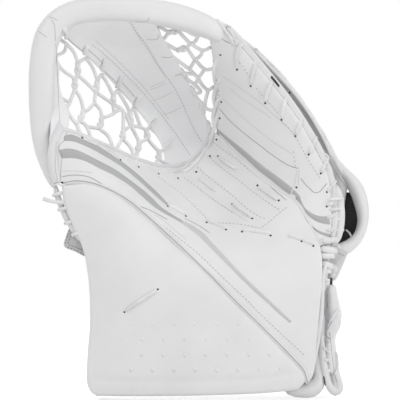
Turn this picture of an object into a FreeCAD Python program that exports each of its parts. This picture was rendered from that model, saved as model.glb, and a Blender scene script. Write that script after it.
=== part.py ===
"""Ice hockey goalie's catch glove for the left hand, with a one-piece cuff and a T-shaped laced pocket.

Frame: the glove stands on the flat lower edge of its cuff. Z is up, the catching side faces -Y,
the thumb is at -X and the fingers at +X. The origin is in the wrist opening, level with the cuff's
lower edge. The catching side is one smooth surface y = f(x, z). Every front panel is a slab of it.
"""

import FreeCAD, Part
import math
import os

import Sketcher
from FreeCAD import Vector

doc = FreeCAD.newDocument("goalie_catch_glove")

# ---------------------------------------------------------------------------------------------
# Driving dimensions, millimetres
# ---------------------------------------------------------------------------------------------
SIZES = {
    "skin": 3.0,
    "foam_cuff": 11.6,
    "foam_finger": 11.6,
    "foam_thumb": 16.0,
    "foam_start": 3.2,
    "liner": 1.6,
    "cuff_liner_start": 15.4,
    "palm_thick": 4.0,
    "palm_liner_start": 4.2,
    "stem_thick": 5.0,
    "stem_back_start": 5.2,
    "stem_back_thick": 3.0,
    "hem_height": 5.0,
    "hem_thick": 14.8,
    "band_radius": 11.0,
    "edge_radius": 4.0,
    "guard_roll_radius": 6.5,
    "gusset_start": 15.2,
    "gusset_depth": 6.0,
    "mesh_depth": 6.0,
    "lace_radius": 2.4,
    "lace_flat": 1.8,
    "pad_thick": 12.0,
    "pad_liner": 14.0,
    "stall_radius": 11.0,
    "stall_wall": 1.5,
    "thumb_stall_radius": 11.5,
    "strap_thick": 2.4,
    "wrist_strap_width": 32.0,
    "wrist_strap_low": 119.0,
    "cuff_strap_width": 38.0,
    "cuff_strap_low": 32.0,
    "hook_thick": 1.2,
    "hook_length": 32.0,
    "hook_short": 14.0,
    "hook_width": 26.0,
    "tab_width": 21.0,
    "tab_height": 33.0,
    "tongue_width": 12.0,
    "tongue_length": 46.0,
    "index_length": 72.0,
    "middle_length": 82.0,
    "ring_length": 82.0,
    "little_length": 54.0,
    "thumb_length": 68.0,
    "hem_radius": 329.0,
    "eyelet_radius": 2.7,
    "side_pad_thick": 13.0,
    "side_pad_height": 94.0,
    "side_wall_thick": 9.0,
    "side_wall_height": 112.0,
    "ring_radius": 6.0,
    "ring_wire": 1.2,
    "thumb_guard": 8.0,
    "tail_radius": 7.0,
}

sheet = doc.addObject("Spreadsheet::Sheet", "sizes")
for row, (alias, value) in enumerate(SIZES.items(), start=1):
    sheet.set(f"A{row}", alias)
    sheet.set(f"B{row}", str(value))
    sheet.setAlias(f"B{row}", alias)
doc.recompute()


def size(alias):
    """A driving dimension, read back from the sheet."""
    return float(sheet.get(alias))


PARTS = []


def finish(obj, label):
    """Name an object as one piece of the glove, to be written to a file of its own."""
    obj.Label = label
    PARTS.append(obj)
    return obj


# ---------------------------------------------------------------------------------------------
# Smooth surfaces through hand-placed landmarks
# ---------------------------------------------------------------------------------------------
SPAN = 100.0


def bend(dx, dz):
    """The thin plate's kernel, r squared times log r."""
    r2 = (dx * dx + dz * dz) / (SPAN * SPAN)
    return 0.5 * r2 * math.log(r2) if r2 > 0.0 else 0.0


def solved(rows):
    """Gaussian elimination with row swaps, on rows that end with the right-hand side."""
    n = len(rows)
    for i in range(n):
        pivot = max(range(i, n), key=lambda k: abs(rows[k][i]))
        rows[i], rows[pivot] = rows[pivot], rows[i]
        for k in range(i + 1, n):
            ratio = rows[k][i] / rows[i][i]
            if ratio:
                rows[k] = [a - ratio * b for a, b in zip(rows[k], rows[i])]
    out = [0.0] * n
    for i in reversed(range(n)):
        known = sum(rows[i][k] * out[k] for k in range(i + 1, n))
        out[i] = (rows[i][n] - known) / rows[i][i]
    return out


def thin_plate(landmarks):
    """The smoothest y(x, z) through landmarks (x, z, y), as a thin springy plate would lie."""
    rows = []
    for x, z, y in landmarks:
        row = [bend(x - p, z - q) for p, q, _ in landmarks]
        rows.append(row + [1.0, x / SPAN, z / SPAN, y])
    count = len(landmarks)
    rows.append([1.0] * count + [0.0] * 4)
    rows.append([p / SPAN for p, _, _ in landmarks] + [0.0] * 4)
    rows.append([q / SPAN for _, q, _ in landmarks] + [0.0] * 4)
    weights = solved(rows)

    def height(x, z):
        total = weights[-3] + weights[-2] * x / SPAN + weights[-1] * z / SPAN
        for weight, (p, q, _) in zip(weights, landmarks):
            total += weight * bend(x - p, z - q)
        return total

    return height


CUFF_MARKS = [
    (-96, 0, -46), (0, 0, -60), (95, 0, -44),
    (-96, 68, -48), (0, 68, -62), (98, 68, -46),
    (-104, 137, -56), (-44, 120, -60), (26, 107, -57), (104, 124, -40),
]
THUMB_MARKS = [
    (-120, 222, -64), (-118, 190, -66), (-87, 203, -54), (-61, 185, -44),
    (-33, 170, -28), (-102, 225, -56), (-68, 207, -28), (-36, 194, 6),
]
PALM_MARKS = [
    (-17, 191, 26), (2, 203, 40), (13, 190, 32), (35, 172, 10),
    (-9, 159, -14), (35, 146, -24), (87, 135, -35), (66, 160, -14),
]
FINGER_MARKS = [
    (12, 231, 32), (11, 268, 10), (10, 303, -24), (6, 318, -36), (44, 207, 15),
    (70, 185, -2), (52, 242, 2), (35, 285, -14), (22, 322, -36), (87, 207, -9),
    (78, 251, -13), (109, 181, -16), (104, 216, -12), (115, 151, -27), (50, 295, -18),
]
STEM_MARKS = [
    (0, 220, 46), (-13, 242, 40), (-35, 264, 22), (-61, 294, -14), (-83, 322, -40),
    (-109, 304, -38), (-65, 251, 16), (-26, 212, 40), (-44, 325, -40), (-17, 284, 0),
    (-120, 322, -46), (-95, 275, -18),
]
catching = thin_plate(CUFF_MARKS + THUMB_MARKS + PALM_MARKS + FINGER_MARKS + STEM_MARKS)

BACK_MARKS = [
    (20, 322, 10), (43, 311, 20), (84, 268, 28), (114, 224, 32), (134, 190, 36),
    (92, 205, 50), (68, 222, 66), (46, 240, 80), (24, 262, 88), (26, 295, 62),
    (12, 228, 91), (-10, 196, 89), (-30, 168, 78), (-36, 150, 74), (4, 152, 78),
    (44, 150, 74), (84, 136, 58), (118, 140, 42), (60, 165, 74), (20, 180, 88),
]
backhand = thin_plate(BACK_MARKS)

THUMB_BACK_MARKS = [
    (-124, 226, -14), (-122, 186, -14), (-100, 206, -5), (-60, 205, 14),
    (-60, 172, 14), (-32, 200, 32), (-32, 164, 30),
]
thumb_back = thin_plate(THUMB_BACK_MARKS)


def along(run, count):
    """Evenly spaced points on the smooth curve through a run of (x, z) points."""
    points = [Vector(x, 0, z) for x, z in run]
    if len(points) == 2:
        shape = Part.LineSegment(points[0], points[1]).toShape()
    else:
        curve = Part.BSplineCurve()
        curve.interpolate(points)
        shape = curve.toShape()
    return shape.discretize(Number=count)


def filled(foot, top, left, right, across, up):
    """Grid of points that fills four edges: foot and top run left to right, left and right run up."""
    foot, top = along(foot, across + 1), along(top, across + 1)
    left, right = along(left, up + 1), along(right, up + 1)
    grid = []
    for i in range(across + 1):
        u = i / across
        column = []
        for j in range(up + 1):
            v = j / up
            rows = foot[i] * (1 - v) + top[i] * v
            columns = left[j] * (1 - u) + right[j] * u
            low = foot[0] * (1 - u) + foot[-1] * u
            high = top[0] * (1 - u) + top[-1] * u
            column.append(rows + columns - (low * (1 - v) + high * v))
        grid.append(column)
    return grid


def facet(*corners):
    """A flat face through its corners."""
    return Part.Face(Part.makePolygon([*corners, corners[0]]))


def soft_panel(label, grid, height, start, thick):
    """A soft panel in flat facets: the grid laid on a surface y = height(x, z), and given thickness."""
    front = [[Vector(p.x, height(p.x, p.z) + start, p.z) for p in column] for column in grid]
    back = [[p + Vector(0, thick, 0) for p in column] for column in front]
    last, top = len(grid) - 1, len(grid[0]) - 1
    faces = []
    for i in range(last):
        for j in range(top):
            for side in (front, back):
                a, b, c, d = side[i][j], side[i + 1][j], side[i + 1][j + 1], side[i][j + 1]
                faces += [facet(a, b, c), facet(a, c, d)]
    rim = [(i, 0) for i in range(last)] + [(last, j) for j in range(top)]
    rim += [(i, top) for i in range(last, 0, -1)] + [(0, j) for j in range(top, 0, -1)]
    for (i, j), (k, m) in zip(rim, rim[1:] + rim[:1]):
        faces.append(facet(front[i][j], front[k][m], back[k][m], back[i][j]))
    obj = doc.addObject("Part::Feature", label)
    obj.Shape = Part.makeSolid(Part.makeShell(faces))
    return finish(obj, label)


def shifted(run, dx, dz):
    """A run moved sideways, for the far edge of a groove or a seam."""
    return [(x + dx, z + dz) for x, z in run]


# ---------------------------------------------------------------------------------------------
# Edges of the panels, as (x, z) runs: foot and top edges left to right, side edges upwards
# ---------------------------------------------------------------------------------------------
GROOVE = [(86, 5), (88, 18), (78, 42), (44, 81), (0, 127), (-35, 158)]
GROOVE_WIDTH = 2.6
LACING_ROW = [(-29, 165), (-9, 158), (13, 152), (35, 146), (61, 140), (87, 134), (102, 130)]
THUMB_END = [(-30, 167), (-25, 180), (-18, 191)]
BREAK = [(12, 232), (35, 208), (61, 185), (82, 172), (91, 158), (104, 134)]
BREAK_GAP = 0.7
SEAM = 0.3
FINGER_HEEL = (104 + SEAM, 134 + SEAM)
STEM_FOOT = [(-25, 208), (-13, 200), (-2, 205), (9, 230)]

cuff_grid = filled(
    foot=[(-97, 5), (86, 5)],
    top=[(-118, 187), (-97, 188), (-78, 184), (-57, 173), (-35, 158)],
    left=[(-97, 5), (-94, 68), (-95, 96), (-100, 128), (-108, 153), (-117, 172), (-118, 187)],
    right=GROOVE,
    across=14,
    up=8,
)
wing_grid = filled(
    foot=[(92, 24), (98, 42)],
    top=[(-32, 161), *LACING_ROW],
    left=shifted(GROOVE[1:], GROOVE_WIDTH, GROOVE_WIDTH),
    right=[(98, 42), (103, 85), (104, 118), (102, 130)],
    across=7,
    up=8,
)
liner_grid = filled(
    foot=[(-97, 5), (84, 5)],
    top=[(-118, 185), (-97, 186), (-60, 172), (-32, 161), (13, 150), (61, 138), (101, 128)],
    left=[(-97, 5), (-94, 68), (-95, 96), (-100, 128), (-108, 153), (-117, 172), (-118, 185)],
    right=[(84, 5), (96, 42), (102, 85), (101, 128)],
    across=12,
    up=8,
)
thumb_grid = filled(
    foot=[(-118, 191), (-97, 192), (-78, 188), (-61, 176), (-44, 166), (-30, 167)],
    top=[(-120, 224), (-114, 230), (-102, 226), (-84, 217), (-68, 208), (-52, 202), (-35, 197), (-18, 191)],
    left=[(-118, 191), (-121, 207), (-120, 224)],
    right=THUMB_END,
    across=12,
    up=4,
)
tip_grid = filled(
    foot=[(-123, 187), (-118.5, 189)],
    top=[(-122, 237), (-118, 232)],
    left=[(-123, 187), (-128, 203), (-128, 216), (-122, 237)],
    right=[(-118.5, 189), (-121.5, 207), (-120.5, 224), (-118, 232)],
    across=1,
    up=6,
)
guard_grid = filled(
    foot=[(-120, 192), (-98, 192), (-78, 186), (-58, 176), (-34, 166)],
    top=[(-118, 222), (-84, 213), (-52, 199), (-22, 189)],
    left=[(-120, 192), (-122, 206), (-118, 222)],
    right=[(-34, 166), (-28, 178), (-22, 189)],
    across=8,
    up=3,
)
palm_grid = filled(
    foot=LACING_ROW,
    top=shifted(BREAK, -BREAK_GAP, -BREAK_GAP),
    left=[(-29, 165), (-25, 178), (-18, 191), (-13, 200), (-2, 205), (7, 222), (11.3, 231.3)],
    right=[(102, 130), (103.3, 133.3)],
    across=12,
    up=7,
)
finger_grid = filled(
    foot=[(8, 317), (20, 319)],
    top=[FINGER_HEEL, (110, 134)],
    left=[
        (8, 317), (11, 294), (12, 259), (13, 241), (19, 227.5),
        *shifted(BREAK[1:-1], SEAM, SEAM), FINGER_HEEL,
    ],
    right=[
        (20, 319), (35, 303), (53, 282), (70, 261), (87, 237), (101, 213), (109, 196), (112, 177), (113, 159),
        (110, 134),
    ],
    across=5,
    up=18,
)
stem_grid = filled(
    foot=STEM_FOOT,
    top=[(-122, 319), (-100, 323), (-70, 324), (-47, 320)],
    left=[(-25, 208), (-43, 236), (-72, 270), (-99, 297), (-122, 319)],
    right=[(9, 230), (4, 242), (-4, 259), (-17, 281), (-32, 304), (-47, 320)],
    across=6,
    up=10,
)
pad_grid = filled(
    foot=[(-37, 156), (4, 154), (44, 154), (72, 152), (90, 140), (110, 133)],
    top=[(19, 318), (30, 316)],
    left=[(-37, 156), (-32, 172), (-8, 198), (12, 224), (19, 262), (19, 300), (19, 318)],
    right=[(110, 133), (122, 150), (128, 172), (130, 192), (114, 224), (84, 268), (50, 304), (30, 316)],
    across=8,
    up=11,
)

gusset_edge = [(49, 293), (66, 272), (83, 248), (98, 222), (108, 200)]
gusset_grid = filled(
    foot=[(49, 293), (51, 294.5)],
    top=[(108, 200), (110, 201)],
    left=gusset_edge,
    right=shifted(gusset_edge, 2, 1.5),
    across=1,
    up=8,
)
mesh_grid = filled(
    foot=[(113, 137), (122, 137)],
    top=[(129, 186), (131, 184)],
    left=[(113, 137), (122, 151), (129, 172), (129, 186)],
    right=[(122, 137), (132, 149), (135, 161), (131, 184)],
    across=3,
    up=5,
)

skin = size("skin")
foam_start = size("foam_start")
soft_panel("cuff_panel", cuff_grid, catching, 0, skin)
soft_panel("cuff_foam", cuff_grid, catching, foam_start, size("foam_cuff"))
soft_panel("wing_panel", wing_grid, catching, 0, skin)
soft_panel("wing_foam", wing_grid, catching, foam_start, size("foam_cuff"))
soft_panel("cuff_liner", liner_grid, catching, size("cuff_liner_start"), size("liner"))
soft_panel("thumb_panel", thumb_grid, catching, 0, skin)
soft_panel("thumb_foam", thumb_grid, catching, foam_start, size("foam_thumb"))
soft_panel("thumb_tip_cap", tip_grid, catching, 0, size("foam_thumb"))
soft_panel("thumb_back_guard", guard_grid, thumb_back, 0, size("thumb_guard"))
soft_panel("palm", palm_grid, catching, 0, size("palm_thick"))
soft_panel("palm_liner", palm_grid, catching, size("palm_liner_start"), size("liner"))
soft_panel("t_stem", stem_grid, catching, 0, size("stem_thick"))
soft_panel("t_stem_back", stem_grid, catching, size("stem_back_start"), size("stem_back_thick"))
soft_panel("finger_panel", finger_grid, catching, 0, skin)
soft_panel("finger_foam", finger_grid, catching, foam_start, size("foam_finger"))
soft_panel("finger_gusset", gusset_grid, catching, size("gusset_start"), size("gusset_depth"))
soft_panel("wrist_mesh", mesh_grid, backhand, -size("mesh_depth"), size("liner"))
soft_panel("backhand_pad", pad_grid, backhand, -size("pad_thick"), size("pad_thick"))
soft_panel("backhand_liner", pad_grid, backhand, -size("pad_liner"), size("liner"))

# ---------------------------------------------------------------------------------------------
# Rolls and straps: straight runs joined by tangent arcs
# ---------------------------------------------------------------------------------------------
ARC_SHARE = 0.45


def rounded_path(name, points):
    """A wire of straight runs joined by the largest arcs that their lengths allow."""
    edges = []
    last = points[0]
    for a, b, c in zip(points, points[1:], points[2:]):
        before, after = (b - a).normalize(), (c - b).normalize()
        cut = ARC_SHARE * min((b - a).Length, (c - b).Length)
        turn = before.getAngle(after)
        radius = cut / math.tan(turn / 2)
        inward = (after - before).normalize()
        start, end = b - before * cut, b + after * cut
        middle = b + inward * (radius / math.cos(turn / 2) - radius)
        edges.append(Part.LineSegment(last, start).toShape())
        edges.append(Part.Arc(start, middle, end).toShape())
        last = end
    edges.append(Part.LineSegment(last, points[-1]).toShape())
    obj = doc.addObject("Part::Feature", name)
    obj.Shape = Part.Wire(edges)
    return obj


def soft_roll(name, points, radius, sides, stations):
    """A stuffed roll in flat facets: many-sided sections at even steps along a smooth path."""
    curve = Part.BSplineCurve()
    curve.interpolate([Vector(*p) for p in points])
    rings = []
    for step in range(stations):
        at = curve.parameterAtDistance(curve.length() * step / (stations - 1))
        along_path = Vector(*curve.tangent(at)[0])
        side = along_path.cross(Vector(0, 1, 0)).normalize()
        up = side.cross(along_path)
        turns = [2 * math.pi * (k + 0.5) / sides for k in range(sides)]
        centre = curve.value(at)
        rings.append([centre + side * (radius * math.cos(t)) + up * (radius * math.sin(t)) for t in turns])
    faces = [facet(*rings[0]), facet(*rings[-1])]
    for ring, after in zip(rings, rings[1:]):
        for k in range(sides):
            m = (k + 1) % sides
            faces += [facet(ring[k], ring[m], after[m]), facet(ring[k], after[m], after[k])]
    obj = doc.addObject("Part::Feature", name)
    obj.Shape = Part.makeSolid(Part.makeShell(faces))
    return obj


def extruded(name, base, direction, length):
    """Base pushed along a direction by a length, given as an expression on the sheet."""
    obj = doc.addObject("Part::Extrusion", name)
    obj.Base = base
    obj.DirMode = "Custom"
    obj.Dir = direction
    obj.Solid = True
    obj.setExpression("LengthFwd", length)
    return obj


def strap(label, plan, thick, low, width):
    """An upright strap: a band beside a path in plan, standing from low and as tall as its width."""
    path = rounded_path(label + "_path", [Vector(x, y, 0) for x, y in plan])
    band = doc.addObject("Part::Offset2D", label + "_band")
    band.Source = path
    band.Mode = "Skin"
    band.Fill = True
    band.setExpression("Value", thick)
    tall = extruded(label, band, Vector(0, 0, 1), width)
    tall.setExpression("Placement.Base.z", low)
    return finish(tall, label)


ROLL_SIDES = 10
EDGE_SIDES = 8
BAND_PATH = [
    (-124, -48, 190), (-131, -50, 205), (-135, -51, 232), (-136, -51, 262), (-135, -50, 292),
    (-129, -49, 316), (-112, -47, 331), (-84, -46, 335.5), (-54, -45, 335), (-24, -40, 331), (12, -31, 319),
]
band = soft_roll("t_band", BAND_PATH, size("band_radius"), ROLL_SIDES, 24)

# The band is in two halves that meet at the break, on the line from the heel to the top of the T
HEEL = Vector(103, -46, 128)
T_TOP = Vector(-82, -60, 346)
break_along = Vector(T_TOP.x - HEEL.x, 0, T_TOP.z - HEEL.z).normalize()
break_across = Vector(break_along.z, 0, -break_along.x)
HALF = 500.0


def half_space(name, sign):
    """A large block on one side of the break, half a seam's width away from it."""
    block = doc.addObject("Part::Box", name)
    block.Length = HALF
    block.Width = HALF
    block.Height = HALF
    turn = FreeCAD.Rotation(break_across, Vector(0, 1, 0), break_along, "ZXY")
    corner = turn.multVec(Vector(0 if sign > 0 else -HALF, -HALF / 2, -HALF / 2))
    seam = break_across * (sign * BREAK_GAP / 2)
    block.Placement = FreeCAD.Placement(T_TOP + corner + seam, turn)
    return block


for label, side in (("t_band_thumb", -1), ("t_band_finger", 1)):
    half = doc.addObject("Part::Common", label)
    half.Base = band
    half.Tool = half_space(label + "_side", side)
    finish(half, label)


def on_front(x, z, lift):
    """A point in front of the catching surface by a lift."""
    return (x, catching(x, z) - lift, z)


EDGE_ROLL_DEPTH = -7.0
EDGE_ROLL = [
    (24, 320), (40, 303), (57, 283), (74, 262), (91, 237), (104.5, 213), (112.5, 194), (115.5, 176),
    (116, 158), (113.5, 143), (107, 133),
]
edge_points = [on_front(x, z, EDGE_ROLL_DEPTH) for x, z in EDGE_ROLL]
GUARD_ROLL = [
    (126, 34, 190), (135, 33, 177), (138, 29, 160), (135, 22, 146), (125, 12, 134), (111, 5, 129),
]
TAIL_ROLL = [(80, -31, 7.5), (92, -29, 7.5), (104, -25, 8)]
for label, points, radius, stations in (
    ("finger_edge_roll", edge_points, "edge_radius", 20),
    ("wrist_guard_roll", GUARD_ROLL, "guard_roll_radius", 12),
    ("liner_tail_roll", TAIL_ROLL, "tail_radius", 4),
):
    finish(soft_roll(label, points, size(radius), EDGE_SIDES, stations), label)
strap(
    "thumb_side_wall",
    [(-93, -34), (-93, 0), (-89, 26)],
    "sizes.side_wall_thick",
    "0 mm",
    "sizes.side_wall_height",
)
strap(
    "wrist_strap",
    [(-101, -36), (-84, 5), (-50, 36), (-5, 48), (40, 46), (78, 32)],
    "sizes.strap_thick",
    "sizes.wrist_strap_low",
    "sizes.wrist_strap_width",
)
strap(
    "cuff_strap",
    [(108, 76), (92, 82), (40, 82), (-10, 73), (-60, 50), (-92, 29.5)],
    "sizes.strap_thick",
    "sizes.cuff_strap_low",
    "sizes.cuff_strap_width",
)
strap(
    "side_pad",
    [(121, -30), (122, 10), (120, 45), (113, 72)],
    "-sizes.side_pad_thick",
    "0 mm",
    "sizes.side_pad_height",
)

# ---------------------------------------------------------------------------------------------
# Sketched pieces: stalls, tabs, patches and the hem
# ---------------------------------------------------------------------------------------------
START, END, CENTRE = 1, 2, 3
ORIGIN = (-1, 1)


def sketch_on_base(body, name):
    """A sketch on the body's own XY plane."""
    sketch = body.newObject("Sketcher::SketchObject", name)
    plane = [f for f in body.Origin.OriginFeatures if f.Role == "XY_Plane"][0]
    sketch.AttachmentSupport = (plane, "")
    sketch.MapMode = "FlatFace"
    return sketch


def closed_outline(sketch, corners):
    """Straight sides from corner to corner of a closed outline, each joined to the next."""
    points = [Vector(x, y, 0) for x, y in corners]
    lines = [sketch.addGeometry(Part.LineSegment(a, b)) for a, b in zip(points, points[1:] + points[:1])]
    for line, after in zip(lines, lines[1:] + lines[:1]):
        sketch.addConstraint(Sketcher.Constraint("Coincident", line, END, after, START))
    return lines


def bound(sketch, rule, expression):
    """Add a measuring constraint whose value follows the sheet."""
    index = sketch.addConstraint(Sketcher.Constraint(*rule))
    sketch.setExpression(f"Constraints[{index}]", expression)


def rectangle(body, name, length, width):
    """A sketch of a rectangle about the origin, long in X, its sizes given as expressions."""
    sketch = sketch_on_base(body, name)
    x, y = 20.0, 5.0
    low, right, top, left = closed_outline(sketch, [(-x, -y), (x, -y), (x, y), (-x, y)])
    for rule in (
        ("Horizontal", low),
        ("Horizontal", top),
        ("Vertical", right),
        ("Vertical", left),
        ("Symmetric", low, START, top, START, *ORIGIN),
    ):
        sketch.addConstraint(Sketcher.Constraint(*rule))
    bound(sketch, ("DistanceX", low, START, low, END, 2 * x), length)
    bound(sketch, ("DistanceY", right, START, right, END, 2 * y), width)
    return sketch


def padded(body, sketch, thick):
    """The sketch pushed out along the body's Z by a thickness given as an expression."""
    pad = body.newObject("PartDesign::Pad", body.Name + "_pad")
    pad.Profile = sketch
    pad.setExpression("Length", thick)
    return pad


def axes(x, y, z):
    """The rotation that turns a body's own X, Y and Z to these directions."""
    return FreeCAD.Rotation(Vector(*x), Vector(*y), Vector(*z), "ZXY")


def stall(label, length, radius, base, turn):
    """A closed-ended sleeve for one finger: one eight-sided prism cut from another."""
    walls = []
    for name, girth, tall in (
        ("outer", radius, length),
        ("inner", f"{radius} - sizes.stall_wall", f"{length} - sizes.stall_wall"),
    ):
        section = doc.addObject("Part::RegularPolygon", f"{label}_{name}_section")
        section.Polygon = STALL_SIDES
        section.setExpression("Circumradius", girth)
        walls.append(extruded(f"{label}_{name}", section, Vector(0, 0, 1), tall))
    sleeve = doc.addObject("Part::Cut", label)
    sleeve.Base, sleeve.Tool = walls
    sleeve.Placement = FreeCAD.Placement(Vector(*base), turn)
    return finish(sleeve, label)


STALL_SIDES = 8
FLAT_FRONT = FreeCAD.Rotation(Vector(0, 0, 1), 180 / STALL_SIDES)
FACING = axes((0, 0, 1), (-1, 0, 0), (0, -1, 0))
FINGERS = (
    ("index", (26, 58.5, 209), (0, -20, 72)),
    ("middle", (48, 46, 188), (0, -17, 82)),
    ("ring", (70, 31.5, 172), (0, -11, 82)),
    ("little", (92, 19, 158), (-1, -3, 60)),
)
for finger_name, place, lean in FINGERS:
    turn = FreeCAD.Rotation(Vector(0, 0, 1), Vector(*lean)).multiply(FLAT_FRONT)
    stall(f"finger_stall_{finger_name}", f"sizes.{finger_name}_length", "sizes.stall_radius", place, turn)
thumb_lean = FreeCAD.Rotation(Vector(0, 0, 1), Vector(-56, -32.5, 22))
stall("thumb_stall", "sizes.thumb_length", "sizes.thumb_stall_radius", (-47, 8.5, 177), thumb_lean)


def patch(label, length, width, thick, round_off, centre, turn):
    """A flat strap end or tab with rounded corners, lying on its centre and facing its own Z."""
    body = doc.addObject("PartDesign::Body", label)
    sketch = rectangle(body, label + "_shape", length, width)
    pad = padded(body, sketch, thick)
    doc.recompute()
    upright = [k for k, edge in enumerate(pad.Shape.Edges, start=1) if abs(edge.tangentAt(0).z) > 0.99]
    corners = body.newObject("PartDesign::Fillet", label + "_corners")
    corners.Base = (pad, [f"Edge{k}" for k in upright])
    corners.setExpression("Radius", round_off)
    body.Placement = FreeCAD.Placement(Vector(*centre), turn)
    return finish(body, label)


patch(
    "tongue_strap",
    "sizes.tongue_length",
    "sizes.tongue_width",
    "sizes.strap_thick",
    "sizes.tongue_width * 0.48",
    (114, -30, 75),
    FACING,
)
patch(
    "wrist_strap_tab",
    "sizes.tab_height",
    "sizes.tab_width",
    "sizes.strap_thick",
    "sizes.tab_width * 0.08",
    (-108, -38.2, 140),
    FACING,
)


def hem(label):
    """The binding on the cuff's lower edge: an arc-shaped band that the glove stands on."""
    body = doc.addObject("PartDesign::Body", label)
    sketch = sketch_on_base(body, label + "_plan")
    outer, inner = size("hem_radius"), size("hem_radius") - size("hem_thick")
    middle = Vector(HEM_MIDDLE, outer - HEM_REACH, 0)
    ends = []
    arcs = []
    for radius in (outer, inner):
        drops = [math.sqrt(radius**2 - (x - middle.x) ** 2) for x in (HEM_LEFT, HEM_RIGHT)]
        tips = [Vector(x, middle.y - drop, 0) for x, drop in zip((HEM_LEFT, HEM_RIGHT), drops)]
        angles = [math.atan2(p.y - middle.y, p.x - middle.x) for p in tips]
        circle = Part.Circle(middle, Vector(0, 0, 1), radius)
        arcs.append(sketch.addGeometry(Part.ArcOfCircle(circle, *angles)))
        ends.append(tips)
    left, right = [sketch.addGeometry(Part.LineSegment(ends[0][k], ends[1][k])) for k in range(2)]
    for rule in (
        ("Coincident", arcs[0], CENTRE, arcs[1], CENTRE),
        ("Coincident", arcs[0], START, left, START),
        ("Coincident", arcs[1], START, left, END),
        ("Coincident", arcs[0], END, right, START),
        ("Coincident", arcs[1], END, right, END),
        ("Vertical", left),
        ("Vertical", right),
        ("DistanceX", *ORIGIN, arcs[0], CENTRE, HEM_MIDDLE),
        ("DistanceX", *ORIGIN, left, START, HEM_LEFT),
        ("DistanceX", *ORIGIN, right, START, HEM_RIGHT),
    ):
        sketch.addConstraint(Sketcher.Constraint(*rule))
    bound(sketch, ("DistanceY", *ORIGIN, arcs[0], CENTRE, middle.y), f"sizes.hem_radius - {HEM_REACH}")
    bound(sketch, ("Radius", arcs[0], outer), "sizes.hem_radius")
    bound(sketch, ("Radius", arcs[1], inner), "sizes.hem_radius - sizes.hem_thick")
    padded(body, sketch, "sizes.hem_height")
    return finish(body, label)


HEM_LEFT, HEM_MIDDLE, HEM_RIGHT = -97.0, -4.0, 86.0
HEM_REACH = 60.0
hem("cuff_hem")


def heel_strap(label, corners, eye):
    """The short strap at the heel, with an eyelet for the ring at its lower end."""
    body = doc.addObject("PartDesign::Body", label)
    sketch = sketch_on_base(body, label + "_shape")
    for line in closed_outline(sketch, corners):
        sketch.addConstraint(Sketcher.Constraint("Block", line))
    radius = size("eyelet_radius")
    hole = sketch.addGeometry(Part.Circle(Vector(*eye, 0), Vector(0, 0, 1), radius))
    sketch.addConstraint(Sketcher.Constraint("DistanceX", *ORIGIN, hole, CENTRE, eye[0]))
    sketch.addConstraint(Sketcher.Constraint("DistanceY", *ORIGIN, hole, CENTRE, eye[1]))
    bound(sketch, ("Radius", hole, radius), "sizes.eyelet_radius")
    padded(body, sketch, "sizes.strap_thick")
    body.Placement = FreeCAD.Placement(Vector(0, HEEL_BACK, 0), axes((1, 0, 0), (0, 0, 1), (0, -1, 0)))
    return finish(body, label)


EYELET = (114, 109)
HEEL_BACK = -1.2
RING_SIDES = 6
UPRIGHT_RING = axes((0, 1, 0), (1, 0, 0), (0, 0, -1))
heel_strap("heel_strap", [(107, 134), (107, 104), (120, 104), (129, 127), (124, 135)], EYELET)

wire = doc.addObject("Part::RegularPolygon", "ring_wire")
wire.Polygon = RING_SIDES
wire.setExpression("Circumradius", "sizes.ring_wire")
wire.setExpression("Placement.Base.x", "sizes.ring_radius")
ring = doc.addObject("Part::Revolution", "strap_ring")
ring.Source = wire
ring.Axis = Vector(0, 1, 0)
ring.Solid = True
ring_centre = Vector(EYELET[0], HEEL_BACK - size("strap_thick") / 2, EYELET[1] - size("ring_radius"))
ring.Placement = FreeCAD.Placement(ring_centre, UPRIGHT_RING)
finish(ring, "strap_ring")

hook = doc.addObject("Part::Box", "wrist_strap_hook")
hook.setExpression("Length", "sizes.hook_length")
hook.setExpression("Width", "sizes.hook_thick")
hook.setExpression("Height", "sizes.hook_width")
hook.Placement = FreeCAD.Placement(
    Vector(46, 43.9, size("wrist_strap_low") + 3),
    FreeCAD.Rotation(Vector(1, 0, 0), Vector(38, -14, 0)),
)
finish(hook, "wrist_strap_hook")

catch = doc.addObject("Part::Box", "cuff_strap_hook")
catch.setExpression("Length", "sizes.hook_short")
catch.setExpression("Width", "sizes.hook_thick")
catch.setExpression("Height", "sizes.hook_width")
catch.Placement = FreeCAD.Placement(
    Vector(-90.8, 28.75, size("cuff_strap_low") + 6),
    FreeCAD.Rotation(Vector(1, 0, 0), Vector(32, 20.5, 0)),
)
finish(catch, "cuff_strap_hook")

# ---------------------------------------------------------------------------------------------
# Laces: each stretch is a straight four-sided bar between two points
# ---------------------------------------------------------------------------------------------
LACE_SIDES = 4
KNOT_GIRTH = 1.5


def bar(start, end, radius):
    """A straight bar between two points."""
    ahead = (end - start).normalize()
    side = ahead.cross(Vector(0, 1, 0)).normalize()
    up = side.cross(ahead)
    turns = [2 * math.pi * (k + 0.5) / LACE_SIDES for k in range(LACE_SIDES)]
    corners = [start + side * (radius * math.cos(t)) + up * (radius * math.sin(t)) for t in turns]
    return facet(*corners).extrude(end - start)


def lace(label, bars):
    """All stretches of one lace, joined where they meet."""
    obj = doc.addObject("Part::Feature", label)
    obj.Shape = bars[0].multiFuse(bars[1:])
    return finish(obj, label)


def web(label, knots, strands, tight, depth):
    """A laced net: strands run from knot to knot, and each tight pair is one twisted knot."""
    places = {name: Vector(*on_front(x, z, depth)) for name, (x, z) in knots.items()}
    radius = size("lace_radius")
    bars = []
    for strand in strands:
        names = strand.split()
        bars += [bar(places[a], places[b], radius) for a, b in zip(names, names[1:])]
    for pair in tight:
        a, b = pair.split()
        bars.append(bar(places[a], places[b], radius * KNOT_GIRTH))
    return lace(label, bars)


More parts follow.
